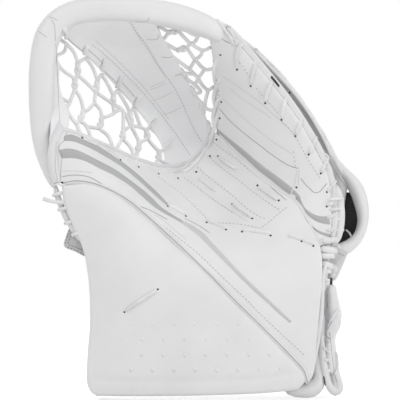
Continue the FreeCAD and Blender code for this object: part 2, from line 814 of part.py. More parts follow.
WEB_DEPTH = -3.0
THUMB_WEB = {
    "S0": (-123, 312), "S1": (-115, 306.5), "M1": (-109, 300), "K1": (-105.5, 291), "L1": (-105.5, 280),
    "N1": (-117, 300), "B1": (-124, 295), "N2": (-119, 285), "K2": (-108, 277), "L2": (-108, 268),
    "S2": (-98.5, 295), "N4": (-98, 273.5), "K3": (-89, 276), "L3": (-90.5, 266), "N5": (-93, 287),
    "S3": (-85.5, 281.5), "L4": (-91.5, 256.5), "N6": (-80.5, 273.5), "K5": (-75.5, 263), "L5": (-76, 256),
    "S4": (-72, 268), "N7": (-97, 250), "K10": (-100.5, 249), "L10": (-103.5, 240.5), "N8": (-86.5, 250.5),
    "K11": (-85, 243.5), "L11": (-87, 234), "N9": (-112, 256.5), "B2": (-114, 249), "B3": (-105.5, 236.5),
    "N10": (-103, 259.5), "T1": (-99.5, 229), "N11": (-97.5, 235.5), "T2": (-94, 227), "N12": (-79, 227),
    "T3": (-74, 218), "L6": (-75, 248.5), "N13": (-78, 246), "K12": (-67, 232), "L12": (-67.5, 226),
    "N14": (-67.5, 250.5), "K7": (-61.5, 249), "L7": (-60.5, 237.5), "N15": (-65, 256.5), "S5": (-58, 253),
    "N16": (-60, 217.5), "T4": (-56, 209), "N17": (-56, 229), "K13": (-53, 222.5), "L13": (-54.5, 215),
    "N18": (-52, 236), "K9": (-47, 233.5), "L9": (-46, 226), "S6": (-44.5, 236.5), "N19": (-40.5, 219.5),
    "K14": (-36, 212),
}
THUMB_STRANDS = [
    "S0 S1 M1 K1", "S1 N1 B1 N2 K2", "S2 K1", "L1 K2", "L1 N4 L3", "S2 N5 K3", "S3 K3", "L3 L4",
    "S3 N6 K5", "S4 K5", "L4 N7 K10", "L4 N8 K11", "L2 N9 B2 B3", "L2 N10 K10", "L10 B3 T1",
    "L10 N11 T2", "L11 N11", "L11 N12 T3", "L3 L5", "L5 L6 N13 K11", "L6 N14 K12", "L5 N14 L7",
    "S4 N15 K7", "S5 K7", "L7 K12", "L12 T3", "L12 N16 T4", "L7 N17 K13", "L7 N18 K9", "S5 N18",
    "S6 K9", "L9 K13", "L13 T4", "L9 N19 K14",
]
THUMB_KNOTS = ["K1 L1", "K2 L2", "K3 L3", "K10 L10", "K11 L11", "K12 L12", "K7 L7", "K13 L13", "K9 L9"]
web("thumb_web_lace", THUMB_WEB, THUMB_STRANDS, THUMB_KNOTS, WEB_DEPTH)

FINGER_WEB = {
    "S1": (-39, 325.5), "N1": (-34, 325), "N2": (-29, 327), "N3": (-21, 326.5), "A5": (-17, 320.5),
    "N4": (-32, 320), "A1": (-26.5, 317), "E1": (-19, 318), "W1": (-13.5, 324), "S2": (-30.5, 309),
    "N5": (-26, 305.5), "A2": (-19.5, 302), "E2": (-11.5, 304), "A3": (-8.5, 307.5), "N6": (-13, 312),
    "N7": (-11, 318), "N8": (-6.5, 315.5), "A6": (-1, 314.5), "W2": (0.5, 320), "N9": (-4.5, 309),
    "A7": (2, 302), "F1": (9, 304), "A4": (-4.5, 294), "N11": (0.5, 297.5), "A8": (-9, 286),
    "S3": (-16.5, 294), "A9": (4, 286), "F2": (11, 286.5), "N12": (-5, 282), "A10": (-1.5, 278.5),
    "A11": (-5.5, 274), "S4": (-9, 279), "N13": (2, 272.5), "A12": (7, 268.5), "F3": (11.5, 271),
    "N14": (0.5, 267), "A13": (4.5, 256), "S5": (2, 261), "F4": (11.5, 253),
}
FINGER_STRANDS = [
    "S1 N1 N2 N3 A5", "S1 N4 A1", "E1 A5 W1", "S2 A1", "S2 N5 A2", "E2 A3", "E1 N6 A3", "A5 N7 N8 A6 W2",
    "A6 N9 A3", "A3 A7 F1", "E2 A4", "A7 N11 A4", "A4 A8", "A8 S3", "A4 A9 F2", "A8 N12 A10", "A9 A10",
    "A10 A11 S4", "A10 N13 A12 F3", "A11 N14 S5", "A12 A13 F4", "S5 A13",
]
FINGER_KNOTS = ["A1 E1", "A2 E2"]
web("finger_web_lace", FINGER_WEB, FINGER_STRANDS, FINGER_KNOTS, WEB_DEPTH)

LACE_LIFT = 2.4


def stitches(label, runs):
    """Short stretches of lace that lie on the catching side, each from one hole to the next."""
    bars = []
    for run in runs:
        start, end = [Vector(*on_front(x, z, LACE_LIFT)) for x, z in run]
        bars.append(bar(start, end, size("lace_flat")))
    return lace(label, bars)


def chained(points):
    """Each point of a list paired with the next."""
    return list(zip(points, points[1:]))


THUMB_HOLES = [(-101, 223), (-84.5, 214.5), (-68, 205), (-54, 199.5), (-36, 193)]
stitches("thumb_edge_lace", chained(THUMB_HOLES))
stitches(
    "palm_lace",
    [
        ((-27, 165.5), (-12, 157)), ((6, 154), (22, 146)), ((36, 147), (60, 138)), ((77, 139), (97, 130)),
        ((16, 210), (33, 197)), ((-2, 191), (13, 179)), ((28, 169), (45, 156)), ((50, 184), (68, 171)),
    ],
)
stitches("cuff_tie", [((-64, 77), (-37, 95))])
stitches(
    "finger_edge_lace",
    [
        ((32, 285), (37, 302)), ((44, 271), (49, 287)), ((57, 256), (61, 271)), ((71, 242), (75, 257)),
        ((83, 228), (88, 241)), ((94, 212), (99, 224)), ((104, 196), (109, 207)),
    ],
)

# ---------------------------------------------------------------------------------------------
# Check everything, then write one file for each piece
# ---------------------------------------------------------------------------------------------
doc.recompute()
for obj in doc.Objects:
    if "Invalid" in obj.State or "Error" in obj.State:
        raise RuntimeError(f"{obj.Label} did not compute: {obj.State}")
for piece in PARTS:
    if piece.Shape.isNull() or not piece.Shape.isValid() or piece.Shape.Volume <= 0:
        raise RuntimeError(f"{piece.Label} is not a valid solid")

os.makedirs("parts", exist_ok=True)
for piece in PARTS:
    piece.Shape.exportStep(f"parts/{piece.Label}.step")
print(len(PARTS), "pieces written")
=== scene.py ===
import math

import bpy
import numpy as np
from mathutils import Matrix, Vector
from mathutils.bvhtree import BVHTree


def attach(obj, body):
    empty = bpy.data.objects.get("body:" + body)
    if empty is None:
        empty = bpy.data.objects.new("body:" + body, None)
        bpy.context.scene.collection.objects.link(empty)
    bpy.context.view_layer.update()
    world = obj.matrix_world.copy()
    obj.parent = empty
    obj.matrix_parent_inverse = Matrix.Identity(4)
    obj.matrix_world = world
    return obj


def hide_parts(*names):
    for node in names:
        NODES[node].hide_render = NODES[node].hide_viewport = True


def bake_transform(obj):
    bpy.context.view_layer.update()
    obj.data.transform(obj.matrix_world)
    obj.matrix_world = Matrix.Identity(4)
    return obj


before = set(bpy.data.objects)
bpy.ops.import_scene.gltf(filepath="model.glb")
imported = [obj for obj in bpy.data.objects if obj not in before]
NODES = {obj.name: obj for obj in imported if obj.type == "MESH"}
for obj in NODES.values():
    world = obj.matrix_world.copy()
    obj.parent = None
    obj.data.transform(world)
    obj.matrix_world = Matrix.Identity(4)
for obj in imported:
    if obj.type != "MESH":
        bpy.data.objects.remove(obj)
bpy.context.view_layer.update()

# Goalie's catch glove: the looks. All lengths here are millimetres until a mesh is made, in the CAD frame:
# Z up, the catching side towards -Y, the thumb at -X. Outlines are runs of (x, z) points.
MM = 0.001
BATCH = 4000  # points that are measured at a time
scene = bpy.context.scene


# ---- Surfaces, taken from the CAD solids ----
def skin_points(names, front):
    """The front or back skin of CAD panels: at each (x, z), the vertex nearest the catching side or furthest."""
    found = {}
    for name in names:
        for vertex in NODES[name].data.vertices:
            x, y, z = (c / MM for c in vertex.co)
            key = (round(x, 1), round(z, 1))
            if key not in found or (y < found[key]) == front:
                found[key] = y
    return np.array([(x, z, y) for (x, z), y in sorted(found.items())])


class Plate:
    """A smooth surface y = f(x, z) through points: a thin-plate spline."""

    SPAN = 100.0
    SLACK = 1e-5

    def __init__(self, points):
        self.at = points[:, :2] / self.SPAN
        n = len(points)
        system = np.zeros((n + 3, n + 3))
        system[:n, :n] = self.bend(self.at[:, None] - self.at[None]) + np.eye(n) * self.SLACK
        system[:n, n] = system[n, :n] = 1
        system[:n, n + 1:] = self.at
        system[n + 1:, :n] = self.at.T
        self.weights = np.linalg.solve(system, np.append(points[:, 2], [0, 0, 0]))

    @staticmethod
    def bend(gap):
        r2 = (gap**2).sum(-1)
        return 0.5 * r2 * np.log(np.maximum(r2, 1e-12))

    def __call__(self, x, z):
        x, z = np.asarray(x, float), np.asarray(z, float)
        spots = np.stack([x.ravel(), z.ravel()], -1) / self.SPAN
        n = len(self.at)
        out = np.empty(len(spots))
        for k in range(0, len(spots), BATCH):
            out[k:k + BATCH] = self.bend(spots[k:k + BATCH, None] - self.at[None]) @ self.weights[:n]
        out += self.weights[n] + spots @ self.weights[n + 1:]
        return out.reshape(x.shape)


catching = Plate(skin_points(["cuff_panel", "wing_panel", "thumb_panel", "palm", "finger_panel", "t_stem"], True))
backhand = Plate(skin_points(["backhand_pad"], False))
thumb_back = Plate(skin_points(["thumb_back_guard"], False))


# ---- Runs and grids ----
def run_of(text):
    """A run of points from their numbers, with a comma between points."""
    return [tuple(map(float, point.split())) for point in text.split(",")]


def runs_of(text):
    """Several runs of points, with a semicolon between runs."""
    return [run_of(run) for run in text.split(";")]


def resampled(line, fractions):
    """Points at the given fractions of a polyline's length."""
    steps = np.linalg.norm(np.diff(line, axis=0), axis=1)
    way = np.append(0, np.cumsum(steps))
    where = np.asarray(fractions) * way[-1]
    return np.stack([np.interp(where, way, line[:, k]) for k in range(line.shape[1])], -1)


def smooth(run, density=20):
    """A dense polyline through a run of points, without corners."""
    points = np.array(run, float)
    if len(points) == 2:
        return points
    ends = np.vstack([2 * points[0] - points[1], points, 2 * points[-1] - points[-2]])
    t = np.linspace(0, 1, density, endpoint=False)[:, None]
    pieces = [
        0.5 * (2 * b + (c - a) * t + (2 * a - 5 * b + 4 * c - d) * t**2 + (3 * b - a - 3 * c + d) * t**3)
        for a, b, c, d in zip(ends, ends[1:], ends[2:], ends[3:])
    ]
    return np.vstack(pieces + [points[-1:]])


def length_of(line):
    return float(np.linalg.norm(np.diff(line, axis=0), axis=1).sum())


def even(run, step):
    """Evenly spaced points along the smooth curve through a run, about one step apart."""
    line = smooth(run)
    return resampled(line, np.linspace(0, 1, max(2, int(length_of(line) / step) + 1)))


RIM_ROWS = np.array([0, 0.4, 1.1, 2.1, 3.4, 5.0])
RIM_POINTS = 900


def graded(run, step):
    """Fractions along a run: rows crowd at both ends, where the rim rolls over."""
    total = length_of(smooth(run))
    rows = RIM_ROWS[RIM_ROWS < total / 2.5]
    inner = np.linspace(rows[-1], total - rows[-1], max(2, int((total - 2 * rows[-1]) / step) + 1))
    return np.concatenate([rows[:-1], inner, (total - rows[:-1])[::-1]]) / total


def filled(foot, top, left, right, step):
    """Grid that fills four edges: foot and top run left to right, left and right run up."""
    across = graded(max((foot, top), key=lambda run: length_of(smooth(run))), step)
    up = graded(max((left, right), key=lambda run: length_of(smooth(run))), step)
    low, high = resampled(smooth(foot), across), resampled(smooth(top), across)
    west, east = resampled(smooth(left), up), resampled(smooth(right), up)
    u, v = across[:, None, None], up[None, :, None]
    corners = low[0] * (1 - u) * (1 - v) + low[-1] * u * (1 - v) + high[0] * (1 - u) * v + high[-1] * u * v
    return low[:, None] * (1 - v) + high[:, None] * v + west[None] * (1 - u) + east[None] * u - corners


def near(spots, line):
    """Distance from each spot to the nearest point of a dense polyline."""
    flat = spots.reshape(-1, spots.shape[-1])
    out = np.empty(len(flat))
    for k in range(0, len(flat), BATCH):
        out[k:k + BATCH] = np.sqrt(((flat[k:k + BATCH, None] - line[None]) ** 2).sum(-1).min(1))
    return out.reshape(spots.shape[:-1])


def rim_of(grid):
    """The grid's outer edge as a dense closed polyline."""
    loop = np.concatenate([grid[:, 0], grid[-1, 1:], grid[-2::-1, -1], grid[0, -2::-1]])
    return resampled(loop, np.linspace(0, 1, RIM_POINTS))


# ---- Meshes ----
def linked(name, data):
    """A new object in the scene."""
    obj = bpy.data.objects.new(name, data)
    scene.collection.objects.link(obj)
    return obj


def mesh(name, verts, faces, finish):
    """A smooth-shaded mesh object from millimetres, with its material."""
    data = bpy.data.meshes.new(name)
    data.from_pydata([tuple(v) for v in np.asarray(verts, float) * MM], [], faces)
    data.polygons.foreach_set("use_smooth", [True] * len(data.polygons))
    data.update()
    data.materials.append(finish)
    return linked(name, data)


def grid_faces(columns, rows, first=0, flip=False):
    """Quads of a grid of vertices numbered column by column."""
    i, j = np.meshgrid(np.arange(columns - 1), np.arange(rows - 1), indexing="ij")
    a = (first + i * rows + j).ravel()
    quads = np.stack([a, a + rows, a + rows + 1, a + 1], -1)
    return (quads[:, ::-1] if flip else quads).tolist()


def slab_faces(columns, rows):
    """Faces of a slab: a front grid, the same grid behind it, and the strip that joins their edges."""
    count = columns * rows
    loop = [(i, 0) for i in range(columns - 1)] + [(columns - 1, j) for j in range(rows - 1)]
    loop += [(i, rows - 1) for i in range(columns - 1, 0, -1)] + [(0, j) for j in range(rows - 1, 0, -1)]
    edge = [i * rows + j for i, j in loop]
    strip = [(b, a, a + count, b + count) for a, b in zip(edge, edge[1:] + edge[:1])]
    return grid_faces(columns, rows) + grid_faces(columns, rows, count, True) + strip


def ring_faces(rings, sides, closed=False):
    """Quads between rings of vertices; closed joins the last ring to the first, else both ends are capped."""
    faces = []
    for i in range(rings if closed else rings - 1):
        for k in range(sides):
            m, n = (k + 1) % sides, (i + 1) % rings
            faces.append((i * sides + k, i * sides + m, n * sides + m, n * sides + k))
    if not closed:
        faces += [tuple(range(sides))[::-1], tuple((rings - 1) * sides + k for k in range(sides))]
    return faces


def joined(name, parts, finish):
    """Several (vertices, faces) parts as one mesh."""
    verts, faces, first = [], [], 0
    for points, polygons in parts:
        verts.append(points)
        faces += [tuple(first + n for n in polygon) for polygon in polygons]
        first += len(points)
    return mesh(name, np.concatenate(verts), faces, finish)


def shell(name, grid, surface, finish, thick, start=0.0, crown=1.5, reach=9.0, rim=2.5, carved=(), back_crown=0.0):
    """A stuffed panel on a surface: crowned in the middle, rolled over at the rim, with seams pressed in.

    carved holds (run, depth, width): a groove, or a ridge where depth is negative, along each run.
    """
    x, z = grid[..., 0], grid[..., 1]
    depth = surface(x, z) + start
    edge = near(grid, rim_of(grid))
    thick = thick(x, z) if callable(thick) else np.full(x.shape, float(thick))
    rolled = np.minimum(rim, thick / 2 - 0.05)
    over = rolled * (1 - np.sqrt(np.clip(1 - (1 - np.minimum(edge / rolled, 1)) ** 2, 0, 1)))
    swell = 1 - np.exp(-edge / reach)
    front = depth + over - crown * swell
    for run, deep, width in carved:
        front += deep * np.exp(-((near(grid, even(run, 1.0)) / width) ** 2))
    back = depth + thick - over + back_crown * swell
    verts = np.concatenate([np.stack([x, y, z], -1).reshape(-1, 3) for y in (front, back)])
    return mesh(name, verts, slab_faces(*x.shape), finish)


def ring_frames(path):
    """Side and up vectors along a path, turned as little as possible from one point to the next."""
    ahead = np.gradient(path, axis=0)
    ahead /= np.linalg.norm(ahead, axis=1)[:, None]
    side = np.cross(ahead[0], (0, 1, 0))
    if np.linalg.norm(side) < 0.1:
        side = np.cross(ahead[0], (1, 0, 0))
    sides, ups = [], []
    for way in ahead:
        side = side - way * side.dot(way)
        side /= np.linalg.norm(side)
        sides.append(side)
        ups.append(np.cross(side, way))
    return np.array(sides), np.array(ups)


def tube(path, radius, sides=10, flat=1.0, squared=2.0):
    """Vertices and faces of a closed tube; radius may change along the path, squared above 2 flattens its faces."""
    path = np.asarray(path, float)
    side, up = ring_frames(path)
    radius = np.broadcast_to(np.asarray(radius, float), (len(path),))[:, None, None]
    angles = 2 * math.pi * np.arange(sides) / sides
    c, s = (np.sign(v) * np.abs(v) ** (2 / squared) for v in (np.cos(angles), np.sin(angles)))
    rings = path[:, None] + radius * (side[:, None] * c[None, :, None] + up[:, None] * (s * flat)[None, :, None])
    return rings.reshape(-1, 3), ring_faces(len(path), sides)


def tubes(name, paths, radius, finish, sides=10, flat=1.0, squared=2.0):
    """Several tubes as one mesh; radius is one for all, or a list with one for each."""
    girths = radius if isinstance(radius, list) else [radius] * len(paths)
    return joined(name, [tube(path, girth, sides, flat, squared) for path, girth in zip(paths, girths)], finish)


ROLL_TIP = np.sqrt(np.clip(1 - (1 - np.arange(4) / 3) ** 2, 0.05, 1))  # how a roll closes over its last rings


def roll(name, path, radii, finish, step=3.0, sides=20, flat=1.0, squared=2.0):
    """A stuffed roll along a smooth path of (x, y, z) points, with its radius at each of them."""
    line = smooth(path)
    girth = smooth([(r, 0) for r in radii])[:, 0] if len(radii) > 2 else np.linspace(*radii, len(line))
    full = resampled(np.column_stack([line, girth]), np.linspace(0, 1, max(3, int(length_of(line) / step))))
    size = full[:, 3].copy()
    size[:len(ROLL_TIP)] *= ROLL_TIP
    size[-len(ROLL_TIP):] *= ROLL_TIP[::-1]
    return tubes(name, [full[:, :3]], [size], finish, sides, flat, squared=squared)


class Skin:
    """Finds the outermost visible surface at (x, z), seen along Y: ahead is 1 from the front, -1 from the back."""

    REACHES = (0, 0.8, 1.6, 2.5, 3.5, 5, 7, 10, 14)

    def __init__(self, pieces, ahead):
        verts, faces = [], []
        for piece in pieces:
            first = len(verts)
            verts += [v.co.copy() for v in piece.data.vertices]
            faces += [tuple(first + n for n in p.vertices) for p in piece.data.polygons]
        self.tree = BVHTree.FromPolygons(verts, faces)
        self.ahead = ahead

    def __call__(self, x, z):
        """Point and outward normal in millimetres, or None where there is nothing."""
        hit, normal, _, _ = self.tree.ray_cast(Vector((x * MM, -self.ahead, z * MM)), Vector((0, self.ahead, 0)))
        if hit is None:
            return None
        if normal.y * self.ahead > 0:
            normal = -normal
        return np.array(hit) / MM, np.array(normal)

    def nearest(self, x, z):
        """As a call, but a spot just off the surface moves back onto it."""
        for reach in self.REACHES:
            for turn in range(8 if reach else 1):
                angle = turn * math.pi / 4
                found = self(x + reach * math.cos(angle), z + reach * math.sin(angle))
                if found:
                    return found
        raise ValueError(f"no surface near {x:.0f}, {z:.0f}")

    def lift(self, run, height, step=1.5):
        """The run laid on the surface, raised along its normal."""
        out = []
        for x, z in even(run, step):
            found = self(x, z)
            if found:
                out.append(found[0] + found[1] * height)
        return np.array(out)


# ---- Materials ----
def add_node(tree, kind, **values):
    """A new node; each value is set on its input of that name, or else as a property."""
    node = tree.nodes.new(kind)
    for key, value in values.items():
        if key in node.inputs:
            node.inputs[key].default_value = value
        else:
            setattr(node, key, value)
    return node


def maths(tree, operation, first, second):
    """The result of a maths node on two outputs."""
    node = add_node(tree, "ShaderNodeMath", operation=operation)
    tree.links.new(first, node.inputs[0])
    tree.links.new(second, node.inputs[1])
    return node.outputs[0]


class Finish:
    """A new material with its shader, and short ways to add and join its nodes."""

    def __init__(self, name, colour, rough):
        self.material = bpy.data.materials.new(name)
        self.material.use_nodes = True
        self.tree = self.material.node_tree
        self.inputs = self.tree.nodes["Principled BSDF"].inputs
        self.inputs["Base Color"].default_value = (*colour, 1)
        self.inputs["Roughness"].default_value = rough

    def texture(self, kind, scaled=None, **values):
        """A texture in the piece's own coordinates, scaled where that is given."""
        place = add_node(self.tree, "ShaderNodeTexCoord").outputs["Object"]
        if scaled:
            mapping = add_node(self.tree, "ShaderNodeMapping", Scale=scaled)
            self.tree.links.new(place, mapping.inputs["Vector"])
            place = mapping.outputs["Vector"]
        node = add_node(self.tree, kind, **values)
        self.tree.links.new(place, node.inputs["Vector"])
        return node

    def through(self, value, node, socket, output, target):
        """Leads a value through a node's socket and output to an input of the shader."""
        self.tree.links.new(value, node.inputs[socket])
        self.tree.links.new(node.outputs[output], self.inputs[target])

    def tint(self, value, low, high, dark, light):
        """Base colour that runs from dark to light as the value runs from low to high."""
        ramp = add_node(self.tree, "ShaderNodeValToRGB")
        for element, place, colour in zip(ramp.color_ramp.elements, (low, high), (dark, light)):
            element.position, element.color = place, (*colour, 1)
        self.through(value, ramp, "Fac", "Color", "Base Color")

    def uneven(self, colour, scale, amount):
        """Base colour that varies a little over the surface."""
        cloud = self.texture("ShaderNodeTexNoise", Scale=scale, Detail=4.0)
        dark, light = [c * (1 - amount) for c in colour], [min(1, c * (1 + amount * 0.6)) for c in colour]
        self.tint(cloud.outputs["Fac"], 0.3, 0.7, dark, light)

    def bump(self, height, strength, distance):
        bump = add_node(self.tree, "ShaderNodeBump", Strength=strength, Distance=distance)
        self.through(height, bump, "Height", "Normal", "Normal")


GRAIN_DEPTH, WEAVE_RELIEF, KNIT_DEPTH = 0.0006, 0.0005, 0.0008  # metres


def leather(name, colour, rough=0.42, grain=900.0, relief=0.10, amount=0.03):
    """Coated leather: pebbled grain, fine creases and slightly uneven colour and gloss."""
    look = Finish(name, colour, rough)
    look.uneven(colour, 28.0, amount)
    cells = look.texture("ShaderNodeTexVoronoi", Scale=grain, feature="SMOOTH_F1").outputs["Distance"]
    creases = look.texture("ShaderNodeTexNoise", Scale=grain * 0.25, Detail=6.0).outputs["Fac"]
    look.bump(maths(look.tree, "ADD", cells, creases), relief, GRAIN_DEPTH)
    worn = add_node(look.tree, "ShaderNodeMapRange", **{"To Min": rough - 0.06, "To Max": rough + 0.08})
    look.through(creases, worn, "Value", "Result", "Roughness")
    return look.material


def weave(name, colour, pitch, relief=0.5, rough=0.85, sheen=0.2, axes="XZ"):
    """Woven fabric: crossing ribs of thread, one rib a pitch in millimetres wide."""
    look = Finish(name, colour, rough)
    look.inputs["Sheen Weight"].default_value = sheen
    look.uneven(colour, 60.0, 0.10)
    fine = 2 * math.pi / (20 * pitch * MM)
    ribs = [
        look.texture("ShaderNodeTexWave", Scale=fine, bands_direction=axis, Distortion=0.4).outputs["Fac"]
        for axis in axes
    ]
    crossed = maths(look.tree, "MULTIPLY" if len(ribs) > 1 else "ADD", ribs[0], ribs[-1])
    look.bump(crossed, relief, WEAVE_RELIEF)
    return look.material


def knit(name, colour, hole, pitch, relief=0.8, rough=0.8):
    """Open spacer mesh: rows of small dark holes."""
    look = Finish(name, colour, rough)
    fine = 1 / (pitch * MM)
    cells = look.texture("ShaderNodeTexVoronoi", (1, 0, 1), Scale=fine, Randomness=0.15).outputs["Distance"]
    look.tint(cells, 0.22, 0.36, hole, colour)
    look.bump(cells, relief, KNIT_DEPTH)
    return look.material


FRONT = leather("front_leather_finish", (0.80, 0.80, 0.80))
BACK = leather("back_leather_finish", (0.78, 0.78, 0.785), 0.46)
# Paler than the front leather: painted light that lifts the shade of the pocket and the T stem.
PALM = leather("palm_leather_finish", (0.85, 0.85, 0.86), 0.5, 700.0)
BAND = leather("band_leather_finish", (0.79, 0.79, 0.795), 0.45)
BINDING = leather("edge_binding_finish", (0.76, 0.76, 0.77), 0.45, 1100.0)
STRIPE = leather("grey_stripe_finish", (0.455, 0.455, 0.462), 0.5, 1200.0, 0.06, 0.04)
PALE_STRIPE = leather("pale_stripe_finish", (0.61, 0.61, 0.618), 0.5, 1200.0, 0.06, 0.04)
# Dark grey lines under flap edges, along panel edges and seams and in the cuff groove: painted shade.
EDGE_SHADE = leather("edge_shade_finish", (0.36, 0.36, 0.37), 0.6, 1200.0, 0.05, 0.05)
# Pale grey lines along folds and across the stem: painted shade.
FOLD_SHADE = leather("fold_shade_finish", (0.62, 0.62, 0.63), 0.6, 1200.0, 0.05, 0.03)
# Mid grey lines beside loops and along tab edges, folds, seams and quilting: painted shade.
LINE_SHADE = leather("tab_and_seam_shade_finish", (0.50, 0.50, 0.51), 0.6, 1200.0, 0.05, 0.03)
LACE = weave("lace_finish", (0.83, 0.83, 0.835), 0.8, 0.35, 0.6, 0.1)
THREAD = weave("thread_finish", (0.50, 0.50, 0.51), 0.4, 0.3, 0.7)
THREAD_DARK = weave("dark_thread_finish", (0.34, 0.34, 0.35), 0.4, 0.3, 0.7)
WEBBING = weave("webbing_finish", (0.70, 0.70, 0.71), 1.3, 0.6, 0.85, 0.12, "Z")
STRAP_WHITE = weave("strap_finish", (0.78, 0.78, 0.78), 1.4, 0.6, 0.75)
LINING = knit("light_lining_finish", (0.78, 0.78, 0.785), (0.56, 0.56, 0.57), 1.6, 0.5)
BLACK = weave("black_lining_finish", (0.022, 0.022, 0.024), 1.2, 0.7, 0.95, 0.3)
HOOKS = knit("hook_tape_finish", (0.035, 0.035, 0.037), (0.012, 0.012, 0.013), 1.1, 1.0, 0.9)
# Near black: painted shade inside lace holes and in gaps between parts.
HOLE_AND_GAP_SHADE = leather("hole_and_gap_shade_finish", (0.02, 0.02, 0.022), 0.35)
RING = leather("ring_finish", (0.03, 0.03, 0.033), 0.28, 1500.0, 0.03)


def bends(piece):
    """Bakes the piece's placement into its mesh."""
    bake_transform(piece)


def dress(piece, slot, how, *nodes):
    """Say what a piece follows and the CAD nodes it stands for; its material slot is not used."""
    if how == "front":
        bends(piece)
    else:
        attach(piece, how)
    if nodes:
        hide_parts(*nodes)


CLOTH_FRAMES = 20


def evaluated(obj):
    return obj.evaluated_get(bpy.context.evaluated_depsgraph_get())


def places(data):
    return np.array([tuple(v.co) for v in data.vertices])


def stuffed(piece, cap, voxel=5.0, quilt=(), reach=3.2):
    """Swells a closed pad by a short cloth run under pressure; quilt holds the runs that stay sewn down."""
    start = linked(piece.name + "_even", piece.data.copy())
    remesh = start.modifiers.new("remesh", "REMESH")
    remesh.mode, remesh.voxel_size = "VOXEL", voxel * MM
    base = bpy.data.meshes.new_from_object(evaluated(start))
    bpy.data.objects.remove(start)
    body = linked(piece.name + "_cloth", base)
    before = places(base)
    cloth = body.modifiers.new("cloth", "CLOTH")
    cloth.settings.quality = 5
    cloth.settings.use_pressure = True
    cloth.settings.uniform_pressure_force = 4
    cloth.settings.effector_weights.gravity = 0
    cloth.point_cache.frame_start, cloth.point_cache.frame_end = 1, CLOTH_FRAMES
    if quilt:
        sewn = np.concatenate([even(run, 2.0) for run in quilt])
        gaps = np.min(np.linalg.norm(before[:, None, (0, 2)] / MM - sewn[None], axis=2), axis=1)
        group = body.vertex_groups.new(name="sewn")
        group.add([int(n) for n in np.flatnonzero(gaps < reach)], 1.0, "REPLACE")
        cloth.settings.vertex_group_mass = "sewn"
    for number in range(1, CLOTH_FRAMES + 1):
        scene.frame_set(number)
    moved = places(evaluated(body).to_mesh()) - before
    scene.frame_set(1)
    moved *= np.minimum(1, cap * MM / np.maximum(np.linalg.norm(moved, axis=1, keepdims=True), 1e-9))
    body.modifiers.remove(cloth)
    base.vertices.foreach_set("co", (before + moved).ravel())
    body.modifiers.new("finer", "SUBSURF").levels = 1
    final = bpy.data.meshes.new_from_object(evaluated(body))
    bpy.data.objects.remove(body)
    final.materials.clear()
    final.materials.append(piece.data.materials[0])
    final.polygons.foreach_set("use_smooth", [True] * len(final.polygons))
    piece.data = final


# ---- Front panels ----
STEP = 2.4
GROOVE = run_of("84 9, 91 18.2, 85.7 28.7, 59.2 55.7, 25.8 88.7, -7.8 122.1, -40.9 153.1")
BREAK = run_of("12 232, 35 208, 61 185, 82 172, 91 158, 103.6 133.8")
LACING_ROW = run_of("-29 165, -9 158, 13 152, 35 146, 61 140, 87 134, 102 130")


PALM_THICKNESS = 4.6


def eased(t):
    """Runs softly from 0 to 1 as t does."""
    t = np.clip(t, 0, 1)
    return t * t * (3 - 2 * t)


def lacing_height(x):
    return np.interp(x, [p[0] for p in LACING_ROW], [p[1] for p in LACING_ROW])


def at_depth(run, deeper):
    """The run of (x, z) points on the catching surface, moved back by deeper."""
    return [(x, float(catching(x, z)) + deeper, z) for x, z in run]


def front_thickness(x, z):
    """Thick foam at the thumb and the wing, and thin leather over the palm between them."""
    share = eased((z - lacing_height(x)) / 14 + 1) * eased((x + 34) / 12)
    foam = np.interp(x, [-70, -30], [18.0, 14.6])
    return foam + (PALM_THICKNESS - foam) * share


cuff_grid = filled(
    foot=run_of("-89 4, -42 4.2, 44 6.2, 84 9"), top=run_of("-118 184.7, -96.6 186.6, -73.9 179, -40.9 153.1"),
    left=run_of("""
        -89 4, -94.5 8.5, -97.4 18, -96.5 42, -94.5 68, -95 96, -98 120, -102 135, -109 150, -116 168, -118 184.7
    """), right=GROOVE, step=STEP,
)
cuff_shell = shell(
    "cuff_shell", cuff_grid, catching, FRONT, 14.8, crown=2.2, reach=16, rim=2.6,
    carved=[(run_of("-90 18, -42 17, 44 19, 76 23"), 0.9, 2.2)],
)
dress(cuff_shell, "front_leather", "cuff_thumb", "cuff_panel", "cuff_foam", "cuff_hem")

front_grid = filled(
    foot=run_of("""
        -119.5 187, -104.6 189, -85.7 185.2, -62 173, -39.6 154.4, -6.6 123.7, 27 90.3, 60.4 57.3, 87 30.5, 92.6 20.5,
        93.2 15
    """),
    top=run_of("""
        -120.5 230, -113 231.5, -103.5 228, -92.2 223.5, -75.7 216.5, -58 208.5, -40.2 203, -27 201.5, -18 202,
        -9 206, 1 215, 8.5 226.5, 15 230.5
    """) + BREAK[1:], left=run_of("-119.5 187, -121.5 207, -120.5 230"),
    right=run_of("93.2 15, 98 25, 101 57.4, 104.4 95.7, 105.3 118, 103.6 133.8"), step=STEP,
)
front_shell = shell("palm_and_thumb_shell", front_grid, catching, FRONT, front_thickness, crown=1.4, reach=9, rim=1.6)
dress(front_shell, "front_leather", "front", "thumb_panel", "thumb_foam", "wing_panel", "wing_foam", "palm")

tip_grid = filled(
    foot=[(-125.5, 185.5), (-118.5, 187)], top=[(-121, 240), (-114.5, 233)],
    left=run_of("-125.5 185.5, -130 203, -129 220, -121 240"),
    right=run_of("-118.5 187, -121 207, -119.5 224, -114.5 233"), step=1.6,
)
tip_cap = shell("thumb_tip_cap_shell", tip_grid, catching, BINDING, 18.0, start=-1.6, crown=1.6, reach=3, rim=3.0)
dress(tip_cap, "edge_binding", "cuff_thumb", "thumb_tip_cap")

